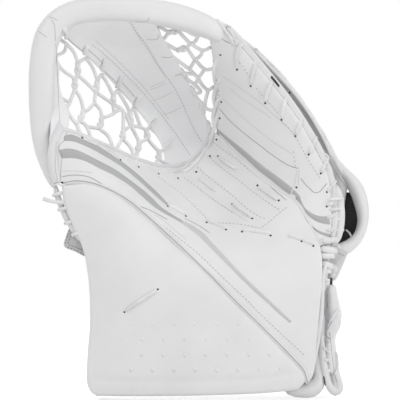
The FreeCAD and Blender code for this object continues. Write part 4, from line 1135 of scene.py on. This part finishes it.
trim(hole_shades, "palm_lace_holes", front_skin, HOLE_AND_GAP_SHADE, "ring", "front", radius=1.05, runs=runs_of("""
    -27.9 166.9, -12.2 158.4, 15.9 210.6, 5.7 152.9, 22.5 146.7, 28.1 168.8, 45.2 156.3, 50.1 185, 68.4 171.9,
    36.3 144.9, 60.9 141.6, 87.6 136.9, 97.6 132.8, -68.6 207, -53.2 201, -36 195.2, -19.2 191.3, -3.3 197,
    -100.9 225.7, -85.6 216.7, -117.8 185.7
"""))
trim(laid_laces, "palm_laces", front_skin, LACE, "lace", "front", "palm_lace", girth=1.75, runs=runs_of("""
    -27.5 167.6, -20 163.7, -12.2 159.3; 5.9 153.6, 13.9 150.9, 22.2 147.6; 36.5 145.9, 48.7 144.6, 60.5 142.7;
    76 141.3, 81.8 140.1, 87.4 137.7; 88.1 137.5, 93.1 135.9, 97.3 133.6; -1.8 191.1, 5.2 185.9, 12.5 179.8;
    28.5 168.4, 36.5 162.3, 44.8 156.8; 50.6 184.6, 59.2 178.3, 68 172.3; 16.3 210.4, 23.9 205.3, 32.2 199.6
"""))
trim(
    laid_laces, "finger_edge_laces", front_skin, LACE, "lace", "front", "finger_edge_lace",
    girth=1.75, flat=0.55, rise=0.8, runs=runs_of("""
        36.2 307.1, 32.4 303.6, 30.8 297.5, 31.8 285.9; 48.7 292.8, 47 287.1, 45.2 279.3, 44 272; 62.2 274.9,
        60 269.7, 58.1 263.6, 56.7 257; 74.4 261, 73.3 255.8, 72 249.3, 70.8 242.6; 87.9 244.5, 86.7 239.2,
        84.7 233.6, 82.9 228.3; 100.7 227.5, 99.2 222.7, 96.6 217.5, 94.4 212.5; 112.1 212.3, 110.1 207.1,
        107.4 201.4, 104.9 196.1; 117.6 188.8, 114.8 184.9, 112.2 182.3, 110.1 179.9; 117 171.4, 114 169.5,
        111.8 168.1, 110 167.1; 117 159.6, 114.4 158.3, 111.8 157.1, 109.6 156.6; 116.6 147.9, 114 146.5, 111.4 145.8,
        109.2 145.5
    """),
)
trim(
    laid_laces, "thumb_edge_laces", front_skin, LACE, "lace", "front", "thumb_edge_lace",
    girth=1.1, flat=0.6, rise=0.5, runs=runs_of("""
        -97.4 226.9, -91.3 223.3, -86.1 217.7; -82 217.1, -75.7 213.6, -69.3 207.9; -65.7 209.2, -59.6 206.2,
        -53.8 201.8; -49.2 203.1, -42.6 200.1, -36.5 196.1; -32.2 198.8, -25.7 195.9, -19.7 192.1
    """),
)
trim(
    laid_laces, "cuff_tie_lace", front_skin, LACE, "lace", "cuff_thumb", "cuff_tie",
    girth=1.5, flat=0.6, rise=1.0, runs=runs_of("""
        -63.9 77.3, -54.8 83.9, -46.1 89.6, -36.9 95.4
    """),
)
trim(hole_shades, "cuff_tie_holes", front_skin, HOLE_AND_GAP_SHADE, "ring", "cuff_thumb", radius=0.85, runs=runs_of("""
    -64.7 76.4, -36 96
"""))

# The groove between cuff and wing: a light welt sewn below the surface
GROOVE_RUN = run_of("""
    92.4 14, 90.6 21, 86 29.5, 60 56.5, 26.4 89.5, -7.2 123, -40.4 153.8, -62.5 172.4, -86 184.6, -104.8 188.4
""")
welt_line = at_depth(GROOVE_RUN + [(-118, 186.6)], 1.9)
welt = roll("cuff_groove_welt", welt_line, [2.6] * len(welt_line), BINDING, step=2.5, sides=12)
dress(welt, "edge_binding", "cuff_thumb")
hinge_line = [(x + 0.3, y, z) for x, y, z in at_depth([(14, 229.5), (24, 219), *BREAK[1:], (104, 132.6)], 2.2)]
hinge_welt = roll("hinge_welt", hinge_line, [2.4] * len(hinge_line), BINDING, step=2.5, sides=12)
dress(hinge_welt, "edge_binding", "front")
# A dark line along the groove: painted shade.
trim(
    seams, "groove_edge_line", Skin([welt], 1), EDGE_SHADE, "front_leather", "cuff_thumb",
    runs=[[(x + 0.2, z + 0.3) for x, z in GROOVE_RUN + [(-117.5, 186.4)]]], width=0.9, lift=0.1,
)

# ---- The head of the T: edge lining, tabs and loops ----
edge_grid = filled(
    foot=[(-129, 221), (-114, 229)], top=[(-127, 312), (-122, 311)],
    left=run_of("-129 221, -128 235, -128 262, -127.5 290, -127 312"),
    right=run_of("-114 229, -112.5 238, -112.5 249, -117.5 259, -121 272, -121 287, -124 298, -122 311"), step=2.4,
)
edge_lining = shell("band_edge_lining", edge_grid, catching, PALM, 3.0, start=1.0, crown=0.4, reach=3, rim=1.2)
dress(edge_lining, "palm_leather", "cuff_thumb")

stem_skin = Skin([stem_shell, band], 1)
trim(laid_laces, "stem_loops", stem_skin, LACE, "lace", "front", girth=1.9, flat=0.55, rise=0.9, runs=runs_of("""
    -116.6 320.2, -114.8 315, -114.8 310.5; -97.4 306.2, -98.5 302, -100 297.4; -81.8 295.8, -83 290, -85.4 283.5;
    -67.9 281, -70 276, -73.2 269.6; -53.1 263.6, -55 259, -58.4 253.9; -39.1 243.6, -41 240, -44.5 235.6;
    -25.2 226.2, -28.5 222.5, -31.7 219.5; -13 206, -17 204, -21 201.5; 6.1 241, 9.1 236.2, 10.4 230.6; -0.9 255.8,
    3 252.3, 5.2 247.5; -7.4 270.6, -4.3 267.1, -1.3 263.2; -15.7 285.4, -12.2 282.3, -9.6 279.3
"""))
# Grey lines beside each loop and along the tab edges: painted shadow of the loops and tabs.
trim(seams, "stem_tab_lines", stem_skin, LINE_SHADE, "palm_leather", "front", width=0.8, lift=0.12, runs=runs_of("""
    -55.7 325.4, -50.5 325, -44.8 325.9, -43.5 329.7; -46.6 310.8, -41.3 310.5, -36.1 311.5, -35.2 315.8; -33.7 296.3,
    -28.3 295.8, -23.5 296.7, -23.1 301; -22.1 280.1, -19.6 281.4, -16.1 282.4; -116.8 319.4, -118.4 315, -118.6 311;
    -98.6 306.2, -101 301, -102.6 299; -83.4 295.4, -85.4 290, -87.6 286.4; -69.4 280.6, -72 275.4, -75 272.4;
    -54.6 263.2, -57.4 259, -60 256.4; -40.6 243.4, -43 240, -46 238; -119.2 316.7, -109.2 307.1, -100.5 300.1;
    -97.4 302.8, -87.4 294.1, -83.5 288.8; -83.5 284.5, -75.7 277.5, -70.9 272.3; -67.9 274.9, -60.9 267.1,
    -56.1 261.4
"""))
# Grey lines of painted shade along the band's folds.
trim(
    seams, "band_fold_lines", band_skin, LINE_SHADE, "band_leather", "cuff_thumb", width=0.7, lift=0.1, runs=runs_of("""
        -140.9 318.4, -135.7 314.9, -130.5 311; -127.9 328, -124.8 322.8, -124 316.7, -123.7 308; -130.5 328.9,
        -126.2 328.4, -121.8 325.4; -123.5 307.1, -122.7 294.1, -121.8 278.4, -121.4 263.6, -120.5 248.8,
        -120.1 238.4; -126.2 264.5, -123.1 265.8, -119.2 262.7, -115.3 256.6
    """),
)
trim(
    laid_laces, "band_end_laces", front_skin_of_band, LACE, "lace", "finger_side",
    girth=1.5, flat=0.7, rise=0.9, dip=-1.0, runs=runs_of("""
        13.7 327.6, 18.7 321.5, 23.5 315.8, 27 310.2, 29.1 305.4; 17.6 327.3, 22.6 321.9, 27 315.8, 30 310.2,
        31.8 305.4
    """),
)

# Thumb tip: cap seams, stitch rows, lace loop and stubs
trim(
    seams, "tip_cap_seams", front_skin, LINE_SHADE, "edge_binding", "cuff_thumb",
    width=0.75, lift=0.12, runs=runs_of("""
        -123.3 238.4, -127.7 229.9, -129.5 223.8, -130.4 214.9, -130.8 206, -130.1 196.6; -114 231.4, -115.4 223.8,
        -119.8 219.3, -120.2 213.2, -118 207.8, -118.4 201.6, -119.8 185.6; -132.6 198, -129.6 193.6, -127.3 190,
        -123.3 185.7
    """),
)
trim(stitches, "tip_cap_stitches", front_skin, THREAD, "lace", "cuff_thumb", pitch=2.4, length=1.6, runs=runs_of("""
    -122.8 222.7, -123 211.4, -123.3 198.9, -122 191.8, -122 186.2
"""))
thumb_rim = roll(
    "thumb_edge_rim", at_depth(run_of("-124 186, -122 176, -118.5 166.5, -114 156, -107.5 145.5, -102.5 137"), 5),
    [2.0, 2.6, 2.6, 2.6, 2.4, 1.6], BINDING, step=2.2, sides=14,
)
dress(thumb_rim, "edge_binding", "cuff_thumb")
RIM_LACE = ((-4.2, 7, -1), (-2.4, 1.4, 0), (1.8, 1.2, 1), (4.2, 3.4, 1.2))  # its course past each (x, depth, z)
rim_laces = tubes(
    "thumb_rim_laces",
    [
        smooth([(x + dx, y + dy, z + dz) for dx, dy, dz in RIM_LACE], 8)
        for x, y, z in at_depth(run_of("-121.5 177, -117 164.5, -111.6 153, -105.4 143"), 0)
    ], 1.5, LACE, flat=0.7,
)
dress(rim_laces, "lace", "cuff_thumb")
stub_root, stub_rim, stub_tip = (y for _, y, _ in at_depth(run_of("-115 171, -121 171, -124 172"), 0))
stub_run = [
    (-115, stub_root + 2.4, 170.6), (-121, stub_rim - 0.6, 170.4), (-128, stub_tip - 0.8, 171.6),
    (-134, stub_tip + 0.4, 173.4),
]
lace_stub = tubes("thumb_lace_stub", [smooth(stub_run, 8)], 1.7, LACE, 12, 0.62)
dress(lace_stub, "lace", "cuff_thumb")
trim(
    laid_laces, "tip_cap_lace", front_skin, LACE, "lace", "cuff_thumb",
    girth=1.3, flat=0.6, rise=0.8, dip=-0.8, runs=runs_of("""
        -127.3 185.7, -122.7 184.3, -117.5 184.6
    """),
)
thumb_top = roll(
    "thumb_edge_binding",
    at_depth(
        run_of("""
            -119 231, -113 231.8, -103.5 228.6, -92.2 224, -75.7 217, -58 209, -40.2 203.4, -27 202, -18 202.6,
            -9 206.5, 1 215.5, 8.5 227
        """), 1.0,
    ), [1.6, 2.0, 2.0, 2.0, 2.0, 2.0, 2.0, 1.8, 1.8, 1.8, 1.8, 1.4], BINDING, step=2.4, sides=12,
)
dress(thumb_top, "edge_binding", "front")
pocket_laces = tubes(
    "pocket_edge_laces",
    [
        smooth([(x, float(catching(x, z)) + deeper, z) for x, z, deeper in run], 8)
        for run in runs_of("""
            -20 201 2, -14 198 -1.6, -6 203 -1.8, 1 211 -1.6, 5 219 1; -31 200 2, -26 197 -1.5, -15 200 -1.8,
            -10 204 1; 3 214 2, 8 221 -1.8, 11 231 -1.8, 14 243 -1.8, 17 254 1; 8 226 2, 12 234 -1.6, 11.5 246 -1.8,
            15 258 -1.8, 18 262 1; 14 252 2, 12 262 -1.6, 14.5 272 -1.6, 18 280 1; 13 276 2, 12 286 -1.5, 15 296 1
        """)
    ], 1.7, LACE, flat=0.7,
)
dress(pocket_laces, "lace", "front")

# ---- Right side: edge lacing, side pad trim, tongue ----
side_fill = roll(
    "wrist_edge_roll", run_of("108.5 -24 138, 108 -25 128, 107.2 -25.5 114, 105.6 -26 98, 104 -26 84"),
    [3.4, 4.4, 4.2, 3.2, 1.8], BACK, step=2.5, sides=16,
)
dress(side_fill, "back_leather", "front")
loops = []
for z, left, right, drop in (
    (136.6, 105, 117.6, -1.6), (130.2, 105.4, 116.4, 1.4), (123.4, 103.8, 114.6, -1.2), (117.4, 105, 113.2, 1.8),
    (110.4, 105.6, 111.6, -1.0), (104.2, 105.8, 110.4, 1.0),
):
    loops.append(smooth([
        (left - 0.8, -27, z + 1.2), (left + 1.4, -35, z + 0.4 - drop / 3), ((left + right) / 2, -36.6, z - drop / 2),
        (right - 1.4, -34, z - drop), (right + 0.4, -26, z - drop - 0.6),
    ], 8))
edge_loops = tubes("wrist_edge_loops", loops, [2.5, 3.1, 2.6, 2.9, 2.3, 2.0], LACE, 12, 0.75)
dress(edge_loops, "lace", "front")
PIPING_RUN = run_of("108.3 118.3, 106.5 107, 105.4 97.9, 104.6 75.9, 101.8 54.8, 99.1 39.2, 96.3 28.3, 93.5 20")
wing_piping = roll(
    "wing_edge_piping", [(x, float(catching(min(x, 104), z)) + 2.6, z) for x, z in PIPING_RUN],
    [1.5, 1.9, 1.9, 1.9, 1.9, 1.9, 1.8, 1.4], BINDING, step=2.4, sides=12,
)
dress(wing_piping, "edge_binding", "cuff_thumb")

pad_roll = roll(
    "side_pad_binding", run_of("""
        105.4 -30 76, 104.6 -31 62, 104.4 -31 50, 105.6 -31 38, 107.8 -31.5 25, 111 -32 13, 116 -32 6.6,
        120.4 -31.5 9, 119.8 -31 17, 117.2 -30 24
    """), [2.4, 3.0, 3.0, 3.0, 3.2, 3.2, 3.2, 3.0, 2.8, 2.2], BINDING, step=2.2, sides=16,
)
dress(pad_roll, "edge_binding", "side_pad")
pad_skin = Skin([side_pad, pad_roll, tongue, heel], 1)
trim(laid_laces, "side_pad_laces", pad_skin, LACE, "lace", "side_pad", girth=1.4, flat=0.7, rise=0.9, runs=runs_of("""
    106 54.8, 109.2 52.2, 112.2 49.6; 105.8 44.8, 108.8 42.6, 111.5 40.4; 107 35.2, 110.1 33.1, 113.1 31.3;
    109.6 25.7, 112.7 23.5, 115.3 21.8; 117.1 40.9, 117.8 34.8, 118 27.8, 116.9 20.9
"""))
# Dark lines of painted shade along the side pad's seams.
trim(seams, "side_pad_seams", pad_skin, EDGE_SHADE, "back_leather", "side_pad", width=0.9, lift=0.1, runs=runs_of("""
    110.2 92.2, 109.8 86.1, 110.4 78.3; 111.4 59.2, 113.1 48.7, 114.1 38.3, 115.7 26.1, 117.9 14.8; 109.2 59.2,
    111.4 63.5, 114.4 69.6, 118.3 77
"""))
# Black strips in the gaps beside the side pad: painted shade.
trim(
    seams, "side_pad_gaps", Skin([pad_roll, side_fill, tail], 1), HOLE_AND_GAP_SHADE, "mesh", "side_pad",
    width=1.5, lift=0.2, runs=runs_of("""
        106.5 97.4, 105.6 93.1, 105.4 87; 106.5 20.9, 107.5 15.7, 108.8 9.9
    """),
)
tongue_edge = roll(
    "tongue_edge", run_of("119.2 -34.6 78, 116.6 -34.8 74.4, 113.6 -34.8 70, 111 -34.6 66"), [1.2, 1.7, 1.7, 1.2],
    BINDING, step=2, sides=12,
)
dress(tongue_edge, "edge_binding", "side_pad")
trim(seams, "heel_strap_seams", Skin([heel], 1), LINE_SHADE, "webbing", "backhand", width=0.8, runs=runs_of("""
    109.6 103.9, 114 102.7, 118.8 101.4; 108.2 131.4, 116.6 127.9, 126.2 123.5
"""))

# Wrist strap tab: box stitching
tab_skin = Skin([tab], 1)
trim(
    stitches, "tab_stitches", tab_skin, THREAD_DARK, "webbing", "cuff_thumb",
    pitch=2.6, length=1.8, girth=0.4, runs=runs_of("""
        -110 152.2, -113.5 143.8, -115.9 134; -114.8 131.9, -107 128.8, -98.7 124.9; -107.4 149.6, -110.9 141.8,
        -113.1 134.4, -106.1 131.4, -98.3 127.9
    """),
)

# ---- Backhand trim ----
BACKHAND_PIPING_RUN = run_of("""
    23 325, 36.7 314.9, 47.5 307.6, 60.9 294.1, 72.2 281.9, 83.6 268.8, 95.7 252.3, 104.4 238.4, 111.4 225.3,
    116.6 212.3
""")
found = [side_skin.nearest(x - 2.2, z - 2.2) for x, z in BACKHAND_PIPING_RUN]
backhand_piping = roll(
    "backhand_piping", [point + normal * 0.4 for point, normal in found], [1.2] + [1.7] * (len(found) - 2) + [1.2],
    BINDING, step=2.4, sides=12,
)
dress(backhand_piping, "edge_binding", "backhand")
trim(
    seams, "backhand_front_seams", side_skin, LINE_SHADE, "back_leather", "backhand",
    width=0.8, lift=0.1, runs=runs_of("""
        80.8 262.2, 87.3 254.2, 94.6 244.9, 101 237.9; 117 207.1, 121.8 198.4, 127.9 189.7, 133.1 182.7; 119.2 196.6,
        124.4 188.8, 130.5 180.5, 135.7 174.9
    """),
)
# A black strip in the gap by the finger edge: painted shade.
trim(inlay, "backhand_gap", front_skin, HOLE_AND_GAP_SHADE, "mesh", "finger_side", lift=0.3, step=1.2, runs=runs_of("""
    62.1 280.3, 65.7 276.2, 69.1 271.5; 61.2 278.4, 64.7 274.1, 68.2 270
"""))
trim(hole_shades, "backhand_holes", side_skin, HOLE_AND_GAP_SHADE, "ring", "backhand", radius=0.95, runs=runs_of("""
    78.5 266.4, 29.1 317.6
"""))

# Back face: quilting, strap ladders and edge stitching
trim(seams, "backhand_quilting", back_skin, LINE_SHADE, "back_leather", "backhand", width=0.9, lift=0.1, runs=QUILTING)
trim(
    stitches, "backhand_stitches", back_skin, THREAD_DARK, "lace", "backhand",
    pitch=3.4, length=2.3, girth=0.36, runs=runs_of("""
        -28 160, 4 159, 44 158.5, 70 156.5, 90 146, 108 138; 114 144, 118 156, 121 170, 122 186, 115 204, 105 222,
        92 244, 80 261, 66 280, 42 304, 28 315; -28 170, -5 193, 16 220, 24 260, 24 298, 24 312
    """),
)
strap_skin = Skin([wrist_strap, cuff_strap], -1)
trim(
    stitches, "wrist_strap_stitches", strap_skin, THREAD_DARK, "webbing", "wrist_strap",
    pitch=3.4, length=2.3, girth=0.36, runs=runs_of("""
        -88 148, -40 148, 10 148, 60 148; -88 122, -40 122, 10 122, 60 122; -84 126, -84 144
    """),
)
trim(
    stitches, "cuff_strap_stitches", strap_skin, THREAD_DARK, "webbing", "cuff_strap",
    pitch=3.4, length=2.3, girth=0.36, runs=runs_of("""
        86 66, 40 66, -10 66, -56 66, -82 66; 86 36, 40 36, -10 36, -56 36, -82 36; 84 40, 84 62
    """),
)
guard_skin = Skin([thumb_guard], -1)
trim(
    stitches, "thumb_guard_stitches", guard_skin, THREAD_DARK, "lace", "cuff_thumb",
    pitch=3.2, length=2.1, girth=0.34, runs=runs_of("""
        -115 196, -98 196, -78 190, -58 180, -38 172; -112 219, -84 209.5, -54 196.5, -28 186
    """),
)


# ---- Moulded dimples of the cuff ----
DIMPLE = ((0, 2.8, -0.15), (1.8, 0, -0.15), (0, -2.8, -0.15), (-1.8, 0, -0.15), (0, 0, 0.28))  # x, z, height
DIMPLE_FACES = [(0, 4, 1), (1, 4, 2), (2, 4, 3), (3, 4, 0), (0, 1, 2, 3)]
DIMPLE_ROWS = ((27, -59, 10, 1.7), (40, -50, 8, 1.4), (53, -68, 7, 1.1), (66, -59, 6, 0.9))  # z, first x, count, size
DIMPLE_PITCH = 18.3


def groove_side(z):
    """The x at which the dimples stop, beside the groove."""
    return 84 - (z - 20) * 1.02


def dimple(x, z, size, skin):
    """A low four-sided diamond standing a little proud of the panel."""
    found = [(skin.nearest(x + a * size, z + b * size), height) for a, b, height in DIMPLE]
    return [point + normal * height for (point, normal), height in found], DIMPLE_FACES


cuff_skin = Skin([cuff_shell], 1)
spots = [(first + DIMPLE_PITCH * k, z, size) for z, first, count, size in DIMPLE_ROWS for k in range(count)]
parts = [dimple(x, z, size, cuff_skin) for x, z, size in spots if x < groove_side(z)]
dress(joined("cuff_dimples", parts, FRONT), "front_leather", "cuff_thumb")

# Strap fold round the D-ring, the finger side's heel roll, and a lace inside the wrist opening
ring_fold = roll(
    "heel_strap_fold", run_of("110.5 -7.6 112, 114 -7.8 112.6, 119.5 -7.4 113.4"), [3.6, 4.2, 3.6], BACK, step=1,
    sides=16, squared=2.6,
)
ring_fold_low = roll(
    "heel_strap_fold_low", run_of("110.8 -7 106.6, 114 -7.2 107, 117.8 -7 107.6"), [2.4, 3.0, 2.4], BACK, step=1,
    sides=16,
)
strap_root = roll(
    "heel_strap_root", run_of("118 -2.4 129.4, 118.4 0.4 131, 118.6 3.6 131.6"), [3.6, 4.0, 4.2], BACK, step=1,
    sides=16, squared=2.6,
)
for fold in (ring_fold, ring_fold_low, strap_root):
    dress(fold, "webbing", "backhand")
heel_roll = roll(
    "finger_heel_roll", run_of("118 -9 186, 120.5 -12 174, 121.4 -14 162, 120.6 -15 150, 118 -17 140, 113.5 -19 132"),
    [2.4, 3.6, 4.2, 4.4, 4.2, 3.0], BACK, step=2.4, sides=18,
)
dress(heel_roll, "back_leather", "finger_side")
heel_laces = tubes(
    "finger_heel_laces",
    [
        smooth([(112.5, -22, z + 0.6), (116, -21.5, z + 1.2), (120.5, -18.4, z + 1.6), (124.2, -13.6, z + 1.4)], 8)
        for z in (172, 163, 154, 145)
    ],
    1.3, LACE, 10, 0.8,
)
dress(heel_laces, "lace", "finger_side")
inner_lace = tubes(
    "opening_lace", [smooth(run_of("128 22 146, 131 19.5 143, 132.4 18 139, 131 18 136"), 8)], 0.8, LACE, 10,
)
dress(inner_lace, "lace", "backhand")

# ---- CAD nodes carried over, camera, light and floor ----
CARRIED = {
    "strap_ring": RING, "wrist_strap_hook": HOOKS, "cuff_strap_hook": HOOKS, "finger_edge_roll": BINDING,
}
for node_name, finish in CARRIED.items():
    slots = NODES[node_name].data.materials
    for number in range(len(slots)):
        slots[number] = finish
    if not slots:
        slots.append(finish)

eye = linked("camera", bpy.data.cameras.new("camera"))
eye.data.sensor_width = 36
eye.data.lens = 362
eye.data.clip_end = 100
eye.location = (0, -3.5, 0.1723)
eye.rotation_euler = (math.pi / 2, 0, 0)
scene.camera = eye

scene.view_settings.view_transform = "Standard"
world = bpy.data.worlds.new("studio")
scene.world = world
world.use_nodes = True
sky = world.node_tree
sky.nodes.clear()


def seen_directly(tree):
    """1 for rays from the camera and through gloss or glass, else 0."""
    rays = add_node(tree, "ShaderNodeLightPath").outputs
    gloss = maths(tree, "MAXIMUM", rays["Is Camera Ray"], rays["Is Glossy Ray"])
    return maths(tree, "MAXIMUM", gloss, rays["Is Transmission Ray"])


LIT_STRENGTH, SEEN_STRENGTH = 0.74, 1.0  # what lights the glove, and what the camera sees
backdrops = [add_node(sky, "ShaderNodeBackground", Strength=level) for level in (LIT_STRENGTH, SEEN_STRENGTH)]
backdrops[1].inputs["Color"].default_value = (1, 1, 1, 1)
pick = add_node(sky, "ShaderNodeMixShader")
for number, source in enumerate((seen_directly(sky), *(backdrop.outputs[0] for backdrop in backdrops))):
    sky.links.new(source, pick.inputs[number])
sky.links.new(pick.outputs[0], add_node(sky, "ShaderNodeOutputWorld").inputs["Surface"])


def lamp(name, place, target, width, power):
    """A large soft area light aimed at a point."""
    light = bpy.data.lights.new(name, "AREA")
    light.shape, light.size, light.energy = "DISK", width, power
    obj = linked(name, light)
    obj.location = place
    obj.rotation_euler = (Vector(target) - Vector(place)).to_track_quat("-Z", "Y").to_euler()


CENTRE = (0, 0, 0.17)
lamp("key", (-0.7, -1.3, 1.5), CENTRE, 1.2, 9)
lamp("fill", (1.4, -0.8, 0.7), CENTRE, 1.2, 7)
lamp("back", (-0.6, 1.9, 1.3), CENTRE, 1.4, 12)

FLOOR_GLOW = 0.55
floor_look = Finish("floor_finish", (0.86, 0.86, 0.86), 0.8)
glow = add_node(floor_look.tree, "ShaderNodeMath", operation="MULTIPLY")
glow.inputs[1].default_value = FLOOR_GLOW
floor_look.inputs["Emission Color"].default_value = (1, 1, 1, 1)
floor_look.through(seen_directly(floor_look.tree), glow, 0, 0, "Emission Strength")
FLOOR_CORNERS = run_of("-2500 -1500 -0.2, 2500 -1500 -0.2, 2500 2500 -0.2, -2500 2500 -0.2")
floor = mesh("floor", FLOOR_CORNERS, [(0, 1, 2, 3)], floor_look.material)
